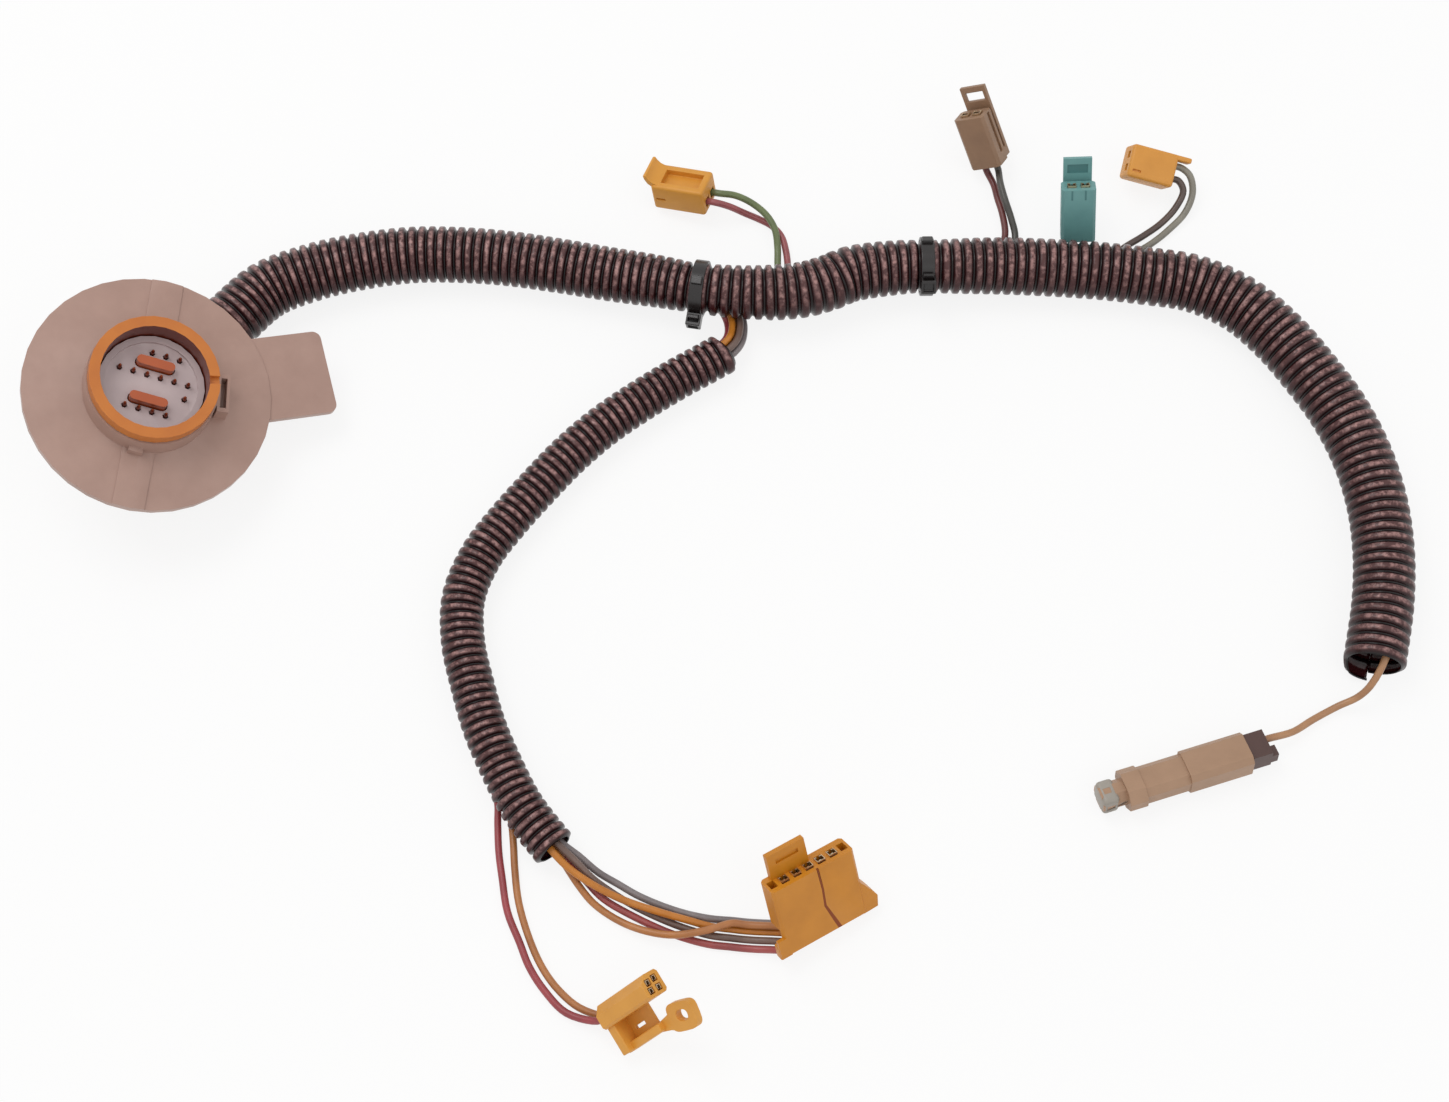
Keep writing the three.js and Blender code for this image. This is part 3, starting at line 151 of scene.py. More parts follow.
# Five-way leads: node, lane, lane in the tail behind the plug, free run
FIVE_WAY_LEADS = [
    ("five_way_lead_grey", (1, 0), (1.5, -0.5), [
        (-41.9, -96.7, 4.6), (-36.4, -100.8, 1.8), (-30.8, -104.0, 1.2), (-24.0, -107.9, 1.2),
        (-13.0, -112.2, 1.2), (-4.0, -114.2, 1.2)]),
    ("five_way_lead_brown", (0.5, 1), (-0.5, -0.5), [
        (-43.0, -98.6, 7.2), (-38.0, -103.0, 3.9), (-33.0, -106.2, 1.4), (-25.0, -111.0, 1.2),
        (-14.0, -116.0, 1.2), (-4.4, -119.0, 1.2)]),
    ("five_way_lead_red", (0.5, -1), (-1.5, -0.5), [
        (-43.6, -98.9, 2.2), (-39.4, -103.8, 1.2), (-34.8, -108.4, 1.2), (-26.0, -113.6, 1.2),
        (-15.0, -118.6, 1.2), (-4.8, -121.6, 1.2)]),
    ("five_way_lead_amber", (0, 0), (1, 0.5), [
        (-45.6, -99.8, 5.4), (-42.0, -104.8, 2.9), (-37.6, -109.8, 1.4), (-30.0, -115.0, 1.5),
        (-22.0, -118.4, 3.4), (-14.0, -119.6, 4.2), (-5.0, -118.2, 4.2)]),
    ("five_way_lead_orange", (-0.5, 1), (0.5, -0.5), [
        (-45.4, -100.4, 8.2), (-39.0, -104.6, 5.8), (-29.4, -109.2, 3.9), (-18.2, -113.0, 3.8),
        (-11.0, -114.9, 3.0), (-4.0, -116.6, 1.9)]),
]


def world(point):
    """A point of the layout grid in millimetres, as the frame's metres."""
    return (Vector(point) - LAYOUT_CENTRE) * MM


# Routes


def spline_terms(points, index):
    """The four points round a span, and its two end tangents, of a centripetal spline."""
    first = points[index - 1] if index else points[0] * 2 - points[1]
    last = points[index + 2] if index + 2 < len(points) else points[-1] * 2 - points[-2]
    start, end = points[index], points[index + 1]
    step = math.sqrt((end - start).length)
    before = math.sqrt((start - first).length) or step
    after = math.sqrt((last - end).length) or step
    leaving = ((start - first) / before - (end - first) / (before + step) + (end - start) / step) * step
    arriving = ((end - start) / step - (last - start) / (step + after) + (last - end) / after) * step
    return start, end, leaving, arriving


def spline_point(points, place):
    """The point and the direction at a place that counts spans from 0."""
    index = min(int(place), len(points) - 2)
    share = place - index
    start, end, leaving, arriving = spline_terms(points, index)
    square = end * 3 - start * 3 - leaving * 2 - arriving
    cube = start * 2 - end * 2 + leaving + arriving
    point = start + leaving * share + square * share ** 2 + cube * share ** 3
    along = leaving + square * (2 * share) + cube * (3 * share ** 2)
    return point, along.normalized()


class Route:
    """A route with a level frame: side is left of travel, up is away from the table."""

    def __init__(self, points):
        self.points = [Vector(point) for point in points]
        divisions = 800
        spans = len(self.points) - 1
        samples = [spline_point(self.points, spans * i / divisions)[0] for i in range(divisions + 1)]
        self.reached = [0.0]
        for before, after in zip(samples, samples[1:]):
            self.reached.append(self.reached[-1] + (after - before).length)
        self.length = self.reached[-1]
        self.divisions = divisions

    def frame(self, station):
        station = min(max(station, 0.0), self.length)
        low, high = 0, self.divisions
        while high - low > 1:
            middle = (low + high) // 2
            if self.reached[middle] <= station:
                low = middle
            else:
                high = middle
        inside = (station - self.reached[low]) / (self.reached[high] - self.reached[low])
        place = (low + inside) / self.divisions * (len(self.points) - 1)
        at, along = spline_point(self.points, place)
        side = Vector((0, 0, 1)).cross(along).normalized()
        return at, along, side, along.cross(side)

    def point(self, station, across, rise):
        at, _, side, up = self.frame(station)
        return at + side * across + up * rise

    def lanes(self, stations, lane):
        return [self.point(station, lane[0] * LANE, lane[1] * LANE_ROW) for station in stations]


def even_stations(start, end, longest):
    count = max(1, math.ceil((end - start) / longest))
    return [start + (end - start) * i / count for i in range(count + 1)]


MAIN = Route(MAIN_ROUTE)
BUNDLE_LANE = (-0.5, -1)
BRANCH = Route(MAIN.lanes([BRANCH_LEAVES - 6, BRANCH_LEAVES], BUNDLE_LANE) + [Vector(p) for p in BRANCH_ROUTE])
TAIL = Route(FIVE_WAY_TAIL)
NEAR_STATIONS = [0.4, 11, 23, 40, 62, 84, 106, 128, 150]
BEND_STATIONS = even_stations(162, 270, 12) + even_stations(287, 470, 17)
BRANCH_STATIONS = [0, 7, 12, 17, 22, 28, 38] + even_stations(54, BRANCH.length - 1, 16)


def plug_matrix(name):
    at, heading, pitch, roll = PLUG_POSES[name]
    heading, pitch = math.radians(heading), math.radians(pitch)
    forward = Vector((
        math.cos(heading) * math.cos(pitch), math.sin(heading) * math.cos(pitch), math.sin(pitch)))
    left = Vector((-math.sin(heading), math.cos(heading), 0))
    level = Matrix((left, forward.cross(left), forward)).transposed().to_4x4()
    return Matrix.Translation(at) @ level @ Matrix.Rotation(math.radians(roll), 4, "Z")


def grid_to_world():
    return Matrix.Scale(MM, 4) @ Matrix.Translation(-LAYOUT_CENTRE)


def connector_matrix():
    turns = Euler([math.radians(angle) for angle in CONNECTOR_TURNS], "XYZ")
    return Matrix.Translation(CONNECTOR_PLACE) @ turns.to_matrix().to_4x4()


def into_plug(name, place, wire_end):
    matrix = plug_matrix(name)
    return [matrix @ Vector((*place, wire_end + depth)) for depth in (-2.5, 0.5, 6.5)]


def lead_routes():
    """The points of each lead, from the back of the connector to its plug, and the plug's name."""
    routes = {}
    for name, lane, last, plug, place, wire_end, run in MAIN_LEADS:
        hidden = NEAR_STATIONS + [s for s in BEND_STATIONS if s < last - 10] + [last]
        free = [Vector(p) for p in run]
        routes[name] = (MAIN.lanes(hidden, lane) + free + into_plug(plug, place, wire_end), plug)

    def through_branch(lane, last):
        in_main = (lane[0] + BUNDLE_LANE[0], lane[1] + BUNDLE_LANE[1])
        stations = [s for s in BRANCH_STATIONS if s < 50 or s <= last]
        return MAIN.lanes(NEAR_STATIONS, in_main) + BRANCH.lanes(stations, lane)

    for name, lane, last, plug, place, wire_end, run in BRANCH_LEADS:
        free = [Vector(p) for p in run]
        routes[name] = (through_branch(lane, last) + free + into_plug(plug, place, wire_end), plug)
    for name, lane, tail, run in FIVE_WAY_LEADS:
        free = [Vector(p) for p in run]
        end = TAIL.lanes(even_stations(0, TAIL.length, 4.4), tail)
        routes[name] = (through_branch(lane, BRANCH.length - 1) + free + end, "five_way_plug")
    return routes


# Materials


def hex_colour(code):
    """Linear RGBA from an sRGB hex value such as "#A98A7C"."""
    parts = [int(code[i:i + 2], 16) / 255 for i in (1, 3, 5)]
    linear = [p / 12.92 if p <= 0.04045 else ((p + 0.055) / 1.055) ** 2.4 for p in parts]
    return (*linear, 1.0)


def add_node(tree, kind, settings=None, links=None):
    """Adds a node, sets its attributes and sockets, and links its inputs to other outputs."""
    node = tree.nodes.new(kind)
    for key, value in (settings or {}).items():
        if isinstance(key, int) or key in node.inputs:
            node.inputs[key].default_value = value
        else:
            setattr(node, key, value)
    for key, output in (links or {}).items():
        tree.links.new(output, node.inputs[key])
    return node


def new_material(name):
    material = bpy.data.materials.new(name)
    material.use_nodes = True
    tree = material.node_tree
    tree.nodes.clear()
    return material, tree


def finish_material(material, tree, sockets, links):
    shader = add_node(tree, "ShaderNodeBsdfPrincipled", sockets, links)
    output = add_node(tree, "ShaderNodeOutputMaterial")
    tree.links.new(shader.outputs["BSDF"], output.inputs["Surface"])
    return material


def moulded_nylon(name, light, dark, roughness=0.42, bloom=0.35):
    """Injection-moulded nylon: soft gloss, slow cloudy colour from the melt, fine spark-eroded grain."""
    material, tree = new_material(name)
    where = add_node(tree, "ShaderNodeTexCoord").outputs["Object"]
    cloud = add_node(tree, "ShaderNodeTexNoise", {"Scale": 95.0, "Detail": 3.0, "Roughness": 0.55}, {"Vector": where})
    grain = add_node(tree, "ShaderNodeTexNoise", {"Scale": 1900.0, "Detail": 2.0}, {"Vector": where})
    shade = add_node(
        tree, "ShaderNodeMapRange", {"From Min": 0.32, "From Max": 0.72, "To Min": 0.0, "To Max": bloom},
        {"Value": cloud.outputs["Fac"]})
    colour = add_node(
        tree, "ShaderNodeMix", {"data_type": "RGBA", 6: hex_colour(light), 7: hex_colour(dark)},
        {0: shade.outputs["Result"]})
    gloss = add_node(
        tree, "ShaderNodeMapRange", {"To Min": roughness - 0.06, "To Max": roughness + 0.1},
        {"Value": cloud.outputs["Fac"]})
    bump = add_node(
        tree, "ShaderNodeBump", {"Strength": 0.12, "Distance": 0.00012}, {"Height": grain.outputs["Fac"]})
    return finish_material(material, tree, {"IOR": 1.53}, {
        "Base Color": colour.outputs[2], "Roughness": gloss.outputs["Result"], "Normal": bump.outputs["Normal"]})


def extruded_polyethylene(name, crest, flank, groove):
    """Corrugated loom: black polyethylene with a soft shine, painted shade of dark red-brown in its grooves and a
    speckled mauve painted highlight along the top of each crest. Reads the mesh's crest and upward attributes."""
    material, tree = new_material(name)
    where = add_node(tree, "ShaderNodeTexCoord").outputs["Object"]
    height = add_node(tree, "ShaderNodeAttribute", {"attribute_name": "crest"})
    upward = add_node(tree, "ShaderNodeAttribute", {"attribute_name": "upward"})
    speckle_noise = add_node(tree, "ShaderNodeTexNoise", {"Scale": 520.0, "Detail": 4.0, "Roughness": 0.65}, {"Vector": where})
    scuff = add_node(tree, "ShaderNodeTexNoise", {"Scale": 130.0, "Detail": 2.0}, {"Vector": where})
    # Painted shade: the grooves darken towards the groove colour and the crests keep the flank colour.
    rise = add_node(
        tree, "ShaderNodeMapRange", {"From Min": 0.12, "From Max": 0.6}, {"Value": height.outputs["Fac"]})
    body = add_node(
        tree, "ShaderNodeMix", {"data_type": "RGBA", 6: hex_colour(groove), 7: hex_colour(flank)},
        {0: rise.outputs["Result"]})
    # Painted highlight: the crest colour is laid in speckles along the top of each crest, standing in for the lamps'
    # reflection.
    top = add_node(
        tree, "ShaderNodeMapRange", {"From Min": 0.3, "From Max": 0.95}, {"Value": upward.outputs["Fac"]})
    ridge = add_node(
        tree, "ShaderNodeMapRange", {"From Min": 0.4, "From Max": 0.78}, {"Value": height.outputs["Fac"]})
    highlight_mask = add_node(
        tree, "ShaderNodeMath", {"operation": "MULTIPLY"}, {0: top.outputs["Result"], 1: ridge.outputs["Result"]})
    highlight_speckle = add_node(
        tree, "ShaderNodeMapRange", {"From Min": 0.44, "From Max": 0.64, "To Min": 0.14}, {"Value": speckle_noise.outputs["Fac"]})
    painted_highlight = add_node(
        tree, "ShaderNodeMath", {"operation": "MULTIPLY"}, {0: highlight_speckle.outputs["Result"], 1: highlight_mask.outputs["Value"]})
    colour = add_node(
        tree, "ShaderNodeMix", {"data_type": "RGBA", 7: hex_colour(crest)},
        {0: painted_highlight.outputs["Value"], 6: body.outputs[2]})
    gloss = add_node(
        tree, "ShaderNodeMapRange", {"To Min": 0.16, "To Max": 0.36}, {"Value": scuff.outputs["Fac"]})
    bump = add_node(
        tree, "ShaderNodeBump", {"Strength": 0.2, "Distance": 0.0002}, {"Height": speckle_noise.outputs["Fac"]})
    return finish_material(material, tree, {"IOR": 1.51, "Specular IOR Level": 0.3}, {
        "Base Color": colour.outputs[2], "Roughness": gloss.outputs["Result"], "Normal": bump.outputs["Normal"]})


def pvc_insulation(name, colour, shadow):
    """Thin-wall PVC wire insulation: waxy, with faint lengthwise streaks of the extruder."""
    material, tree = new_material(name)
    where = add_node(tree, "ShaderNodeTexCoord").outputs["Object"]
    streak = add_node(tree, "ShaderNodeTexNoise", {"Scale": 160.0, "Detail": 3.0}, {"Vector": where})
    shade = add_node(
        tree, "ShaderNodeMapRange", {"From Min": 0.3, "From Max": 0.75, "To Max": 0.6},
        {"Value": streak.outputs["Fac"]})
    mixed = add_node(
        tree, "ShaderNodeMix", {"data_type": "RGBA", 6: hex_colour(colour), 7: hex_colour(shadow)},
        {0: shade.outputs["Result"]})
    gloss = add_node(tree, "ShaderNodeMapRange", {"To Min": 0.3, "To Max": 0.45}, {"Value": streak.outputs["Fac"]})
    return finish_material(material, tree, {"IOR": 1.54}, {
        "Base Color": mixed.outputs[2], "Roughness": gloss.outputs["Result"]})


def stamped_brass(name, colour, tarnish):
    """Stamped brass contact: a bright metal with a brown bloom of tarnish."""
    material, tree = new_material(name)
    where = add_node(tree, "ShaderNodeTexCoord").outputs["Object"]
    bloom = add_node(tree, "ShaderNodeTexNoise", {"Scale": 500.0, "Detail": 3.0}, {"Vector": where})
    mixed = add_node(
        tree, "ShaderNodeMix", {"data_type": "RGBA", 6: hex_colour(colour), 7: hex_colour(tarnish)},
        {0: bloom.outputs["Fac"]})
    gloss = add_node(tree, "ShaderNodeMapRange", {"To Min": 0.22, "To Max": 0.45}, {"Value": bloom.outputs["Fac"]})
    return finish_material(material, tree, {"Metallic": 1.0}, {
        "Base Color": mixed.outputs[2], "Roughness": gloss.outputs["Result"]})


def seen_directly(tree):
    """1 for camera, mirror and glass rays, which see the white background, and 0 for light on the object."""
    ray = add_node(tree, "ShaderNodeLightPath").outputs
    mirrored = add_node(
        tree, "ShaderNodeMath", {"operation": "MAXIMUM"}, {0: ray["Is Glossy Ray"], 1: ray["Is Transmission Ray"]})
    return add_node(
        tree, "ShaderNodeMath", {"operation": "MAXIMUM"},
        {0: ray["Is Camera Ray"], 1: mirrored.outputs["Value"]}).outputs["Value"]


def bright_table(colour):
    """Matt white laminate under a bright sweep: seen directly it is nearly white and keeps a soft shadow."""
    material, tree = new_material("Matt white laminate")
    matt = add_node(tree, "ShaderNodeBsdfPrincipled", {"Base Color": hex_colour(colour), "Roughness": 0.9})
    glow = add_node(tree, "ShaderNodeEmission", {"Color": (1.0, 1.0, 1.0, 1.0), "Strength": 1.0})
    share = add_node(tree, "ShaderNodeMath", {"operation": "MULTIPLY", 1: 0.85}, {0: seen_directly(tree)})
    surface = add_node(
        tree, "ShaderNodeMixShader", {},
        {0: share.outputs["Value"], 1: matt.outputs["BSDF"], 2: glow.outputs["Emission"]})
    add_node(tree, "ShaderNodeOutputMaterial", {}, {"Surface": surface.outputs["Shader"]})
    return material


def soft_room(strength):
    """An even white room: full white where it is seen, and a plain level where it lights the object."""
    room = bpy.data.worlds.new("Soft room")
    room.use_nodes = True
    tree = room.node_tree
    tree.nodes.clear()
    light = add_node(tree, "ShaderNodeBackground", {"Color": (1.0, 1.0, 1.0, 1.0), "Strength": strength})
    white = add_node(tree, "ShaderNodeBackground", {"Color": (1.0, 1.0, 1.0, 1.0), "Strength": 1.0})
    mixed = add_node(
        tree, "ShaderNodeMixShader", {},
        {0: seen_directly(tree), 1: light.outputs["Background"], 2: white.outputs["Background"]})
    add_node(tree, "ShaderNodeOutputWorld", {}, {"Surface": mixed.outputs["Shader"]})
    return room


# Mesh helpers


def place_object(name, mesh, material, body="root"):
    piece = bpy.data.objects.new(name, mesh)
    bpy.context.scene.collection.objects.link(piece)
    if material:
        mesh.materials.append(material)
    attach(piece, body)
    return piece


def add_block(bm, low, high, rounding=0.0):
    """A box between two corners, with its edges rounded if asked."""
    low, high = Vector(low), Vector(high)
    place = Matrix.Translation((low + high) / 2) @ Matrix.Diagonal((*(high - low), 1))
    verts = bmesh.ops.create_cube(bm, size=1, matrix=place)["verts"]
    if rounding:
        edges = list({edge for vert in verts for edge in vert.link_edges})
        bmesh.ops.bevel(
            bm, geom=edges, offset=rounding, offset_type="OFFSET", affect="EDGES", segments=4, profile=0.5,
            material=-1)


def add_ring(bm, outer, inner, axis, low, high):
    """A plate with a hole: two outlines of as many points, pushed along an axis."""
    edges = []
    for outline in (outer, inner):
        verts = []
        for first, second in outline:
            corner = [first, second]
            corner.insert(axis, low)
            verts.append(bm.verts.new(corner))
        edges += [bm.edges.new(pair) for pair in zip(verts, verts[1:] + verts[:1])]
    faces = bmesh.ops.bridge_loops(bm, edges=edges)["faces"]
    pushed = bmesh.ops.extrude_face_region(bm, geom=faces)["geom"]
    reach = Vector((0, 0, 0))
    reach[axis] = high - low
    bmesh.ops.translate(bm, verts=[part for part in pushed if isinstance(part, bmesh.types.BMVert)], vec=reach)


def rounded_outline(centre, radii, power, lean, count=28):
    """Points of a rounded four-sided outline: a lower power gives squarer corners."""
    points = []
    for index in range(count):
        turn = 2 * math.pi * index / count
        across = radii[0] * math.copysign(abs(math.cos(turn)) ** power, math.cos(turn))
        along = radii[1] * math.copysign(abs(math.sin(turn)) ** power, math.sin(turn))
        points.append((
            centre[0] + across * math.cos(lean) - along * math.sin(lean),
            centre[1] + across * math.sin(lean) + along * math.cos(lean)))
    return points


def add_prism(bm, outline, axis, low, high):
    """An outline pushed along an axis: its pairs are the other two axes in order."""
    corners = []
    for first, second in outline:
        corner = [first, second]
        corner.insert(axis, low)
        corners.append(bm.verts.new(corner))
    pushed = bmesh.ops.extrude_face_region(bm, geom=[bm.faces.new(corners)])["geom"]
    reach = Vector((0, 0, 0))
    reach[axis] = high - low
    bmesh.ops.translate(bm, verts=[part for part in pushed if isinstance(part, bmesh.types.BMVert)], vec=reach)


def sink(bm, axis, side, low, high, depth):
    """A pocket in the outermost flat face that looks along an axis: low and high are its corners across it."""
    across = [index for index in range(3) if index != axis]
    for index, bounds in zip(across, zip(low, high)):
        for bound in bounds:
            normal = Vector((0, 0, 0))
            normal[index] = 1
            bmesh.ops.bisect_plane(
                bm, geom=bm.verts[:] + bm.edges[:] + bm.faces[:], plane_co=normal * bound, plane_no=normal)
    bmesh.ops.recalc_face_normals(bm, faces=bm.faces)
    bm.normal_update()
    level = max(vert.co[axis] * side for vert in bm.verts)
    pocket = []
    for face in bm.faces:
        middle = face.calc_center_median()
        inside = all(a < middle[index] < b for index, a, b in zip(across, low, high))
        if inside and face.normal[axis] * side > 0.99 and abs(middle[axis] * side - level) < 0.01:
            pocket.append(face)
    if not pocket:
        raise ValueError(f"no flat face for a pocket between {low} and {high} on axis {axis}")
    pushed = bmesh.ops.extrude_face_region(bm, geom=pocket)["geom"]
    reach = Vector((0, 0, 0))
    reach[axis] = -side * depth
    bmesh.ops.translate(bm, verts=[part for part in pushed if isinstance(part, bmesh.types.BMVert)], vec=reach)
    bmesh.ops.delete(bm, geom=pocket, context="FACES")


def turn_profile(bm, profile, steps):
    """A closed profile of radius and height pairs, turned once round the Z axis."""
    verts = [bm.verts.new((radius, 0, height)) for radius, height in profile]
    edges = [bm.edges.new(pair) for pair in zip(verts, verts[1:] + verts[:1])]
    bmesh.ops.spin(
        bm, geom=verts + edges, cent=(0, 0, 0), axis=(0, 0, 1), angle=2 * math.pi, steps=steps, use_merge=True)


def finish_moulding(bm, name, materials, edge, segments=2, matrix=None):
    """Merges and rounds a mesh as a mould leaves it, and makes it a piece."""
    bmesh.ops.remove_doubles(bm, verts=bm.verts, dist=1e-6 if matrix is None else 1e-4)
    bmesh.ops.dissolve_limit(bm, angle_limit=math.radians(0.6), verts=bm.verts, edges=bm.edges, delimit={"MATERIAL"})
    if matrix is not None:
        bmesh.ops.recalc_face_normals(bm, faces=bm.faces)
        bm.transform(matrix)
    for face in bm.faces:
        face.smooth = True
    mesh = bpy.data.meshes.new(name)
    bm.to_mesh(mesh)
    bm.free()
    mesh.set_sharp_from_angle(angle=math.radians(28))
    for material in materials:
        mesh.materials.append(material)
    piece = place_object(name, mesh, None)
    rounding = piece.modifiers.new("Mould radius", "BEVEL")
    rounding.width = edge * MM
    rounding.segments = segments
    rounding.limit_method = "ANGLE"
    rounding.angle_limit = math.radians(28)
    rounding.use_clamp_overlap = True
    rounding.harden_normals = True
    return piece


def copy_node(node):
    """A merged copy of a CAD node's mesh, in the frame's metres."""
    source = frame["nodes"][node]
    bm = bmesh.new()
    bm.from_mesh(source.data)
    bm.transform(source.matrix_world)
    bmesh.ops.remove_doubles(bm, verts=bm.verts, dist=1e-6)
    return bm


def moulded_copy(node, name, material, edge, segments=2):
    """The node's solid with its flat faces made whole and its edges rounded."""
    piece = finish_moulding(copy_node(node), name, [material], edge, segments)
    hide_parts(node)
    return piece


# Settings


class StageSettings(bpy.types.PropertyGroup):
    camera_distance: bpy.props.FloatProperty(
        name="Camera distance", description="From the camera to the middle of the layout",
        default=0.732, min=0.2, subtype="DISTANCE", unit="LENGTH")
    camera_lean: bpy.props.FloatProperty(
        name="Camera lean", description="Angle between the view and straight down",
        default=math.radians(22), subtype="ANGLE", unit="ROTATION")
    lens_pixels: bpy.props.FloatProperty(
        name="Focal length in pixels", description="Focal length over one pixel of the photograph", default=2400.0)
    room_light: bpy.props.FloatProperty(
        name="Room light", description="Strength of the even light from all round", default=0.66, min=0.0)
    floor_colour: bpy.props.StringProperty(
        name="Floor colour", description="sRGB hex value of the table", default="#F7F6F5")


class LoomSettings(bpy.types.PropertyGroup):
    groove: bpy.props.FloatProperty(
        name="Groove depth", description="From the crest of a convolution to its root",
        default=1.2 * MM, subtype="DISTANCE", unit="LENGTH")
    wall: bpy.props.FloatProperty(
        name="Wall", description="Thickness of the loom's wall", default=0.42 * MM, subtype="DISTANCE", unit="LENGTH")
    near_pitch: bpy.props.FloatProperty(
        name="Near pitch", description="Spacing of the convolutions before the first tie",
        default=3.0 * MM, subtype="DISTANCE", unit="LENGTH")
    far_pitch: bpy.props.FloatProperty(
        name="Far pitch", description="Spacing of the convolutions after the first tie",
        default=3.35 * MM, subtype="DISTANCE", unit="LENGTH")
    branch_pitch: bpy.props.FloatProperty(
        name="Branch pitch", description="Spacing of the branch loom's convolutions",
        default=2.9 * MM, subtype="DISTANCE", unit="LENGTH")
    # The crest colour is a painted highlight along the top of each crest.
    crest: bpy.props.StringProperty(
        name="Crest colour", description="sRGB hex value of the rubbed crests", default="#AC8480")
    # The groove colour is painted shade in the grooves.
    groove_shade_colour: bpy.props.StringProperty(
        name="Groove colour", description="sRGB hex value of the grooves", default="#0F0506")
    flank: bpy.props.StringProperty(
        name="Flank colour", description="sRGB hex value of the sides of the crests", default="#3A1517")


class MouldSettings(bpy.types.PropertyGroup):
    edge: bpy.props.FloatProperty(
        name="Edge radius", description="Rounding of the moulded edges",
        default=0.28 * MM, subtype="DISTANCE", unit="LENGTH")
    flange: bpy.props.StringProperty(
        name="Flange colour", description="sRGB hex value of the flange", default="#AF8E81")
    shell: bpy.props.StringProperty(
        name="Shell colour", description="sRGB hex value of the orange shell", default="#C97629")


# Operators


class HARNESS_OT_stage(bpy.types.Operator):
    """Camera at the photograph's viewing angle, a pale table and soft light"""

    bl_idname = "harness.stage"
    bl_label = "Stage"

    def execute(self, context):
        settings = context.scene.harness_stage
        lens = bpy.data.cameras.new("Camera")
        lens.sensor_fit = "HORIZONTAL"
        lens.sensor_width = 36.0
        lens.lens = lens.sensor_width * settings.lens_pixels / 1449
        lens.clip_end = 20.0
        camera = bpy.data.objects.new("Camera", lens)
        camera.rotation_euler = (settings.camera_lean, 0.0, 0.0)
        toward = Vector((0, -math.sin(settings.camera_lean), math.cos(settings.camera_lean)))
        camera.location = world((0, 0, 0)) + toward * settings.camera_distance
        context.scene.collection.objects.link(camera)
        context.scene.camera = camera

        bm = bmesh.new()
        bmesh.ops.create_grid(bm, x_segments=2, y_segments=2, size=3.0)
        mesh = bpy.data.meshes.new("Table")
        bm.to_mesh(mesh)
        bm.free()
        table = bpy.data.objects.new("Table", mesh)
        context.scene.collection.objects.link(table)
        mesh.materials.append(bright_table(settings.floor_colour))

        for name, place, size, power in (
                ("Key", (-0.45, 0.40, 1.15), 0.7, 4.6), ("Fill", (0.8, -0.5, 1.1), 1.2, 2.2)):
            lamp = bpy.data.lights.new(name, "AREA")
            lamp.size = size
            lamp.energy = power
            light = bpy.data.objects.new(name, lamp)
            light.location = place
            light.rotation_euler = (-Vector(place)).to_track_quat("-Z", "Y").to_euler()
            context.scene.collection.objects.link(light)

        context.scene.world = soft_room(settings.room_light)
        context.scene.view_settings.view_transform = "Standard"
        return {"FINISHED"}


LEAD_COLOURS = {
    "near_yellow_lead_green": ("#6F7C4E", "#4C5536"),
    "near_yellow_lead_red": ("#A4585A", "#6E3033"),
    "tan_lead_red": ("#6E2E2A", "#451A19"),
    "tan_lead_dark": ("#4E4B45", "#2C2A28"),
    "teal_lead_one": ("#4A4A46", "#2A2A28"),
    "teal_lead_two": ("#9C978D", "#6C665E"),
    "far_yellow_lead_light": ("#928D80", "#6A665C"),
    "far_yellow_lead_dark": ("#5F4D46", "#3A2C28"),
    "sensor_lead": ("#B98A62", "#8B5C3C"),
    "arm_lead_red": ("#A8454A", "#722A30"),
    "arm_lead_brown": ("#BF7F4A", "#8A5126"),
    "five_way_lead_grey": ("#857C7C", "#5A5254"),
    "five_way_lead_brown": ("#7A6258", "#4A3832"),
    "five_way_lead_red": ("#A8504E", "#6F2C2E"),
    "five_way_lead_amber": ("#BC7C46", "#8A5226"),
    "five_way_lead_orange": ("#CB7F28", "#96560F"),
}


class HARNESS_OT_leads(bpy.types.Operator):
    """Sixteen insulated leads, from the connector through the looms to their plugs"""

    bl_idname = "harness.leads"
    bl_label = "Leads"

    def execute(self, context):
        for name, (points, plug) in lead_routes().items():
            curve = bpy.data.curves.new(name + "_wire", "CURVE")
            curve.dimensions = "3D"
            curve.bevel_depth = LEAD_DIAMETER / 2 * MM
            curve.bevel_resolution = 3
            curve.resolution_u = 5
            curve.use_fill_caps = True
            spline = curve.splines.new("BEZIER")
            spline.bezier_points.add(len(points) - 1)
            for index, knot in enumerate(spline.bezier_points):
                knot.handle_left_type = knot.handle_right_type = "FREE"
                knot.co = world(points[index])
            for index, (here, there) in enumerate(zip(spline.bezier_points, spline.bezier_points[1:])):
                start, end, leaving, arriving = spline_terms(points, index)
                here.handle_right = world(start + leaving / 3)
                there.handle_left = world(end - arriving / 3)
            spline.bezier_points[0].handle_left = spline.bezier_points[0].co * 2 - spline.bezier_points[0].handle_right
            last = spline.bezier_points[-1]
            last.handle_right = last.co * 2 - last.handle_left
            curve.materials.append(pvc_insulation("PVC insulation " + name, *LEAD_COLOURS[name]))
            lead = bpy.data.objects.new(name + "_wire", curve)
            context.scene.collection.objects.link(lead)
            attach(lead, "root")
            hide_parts(name)
        return {"FINISHED"}


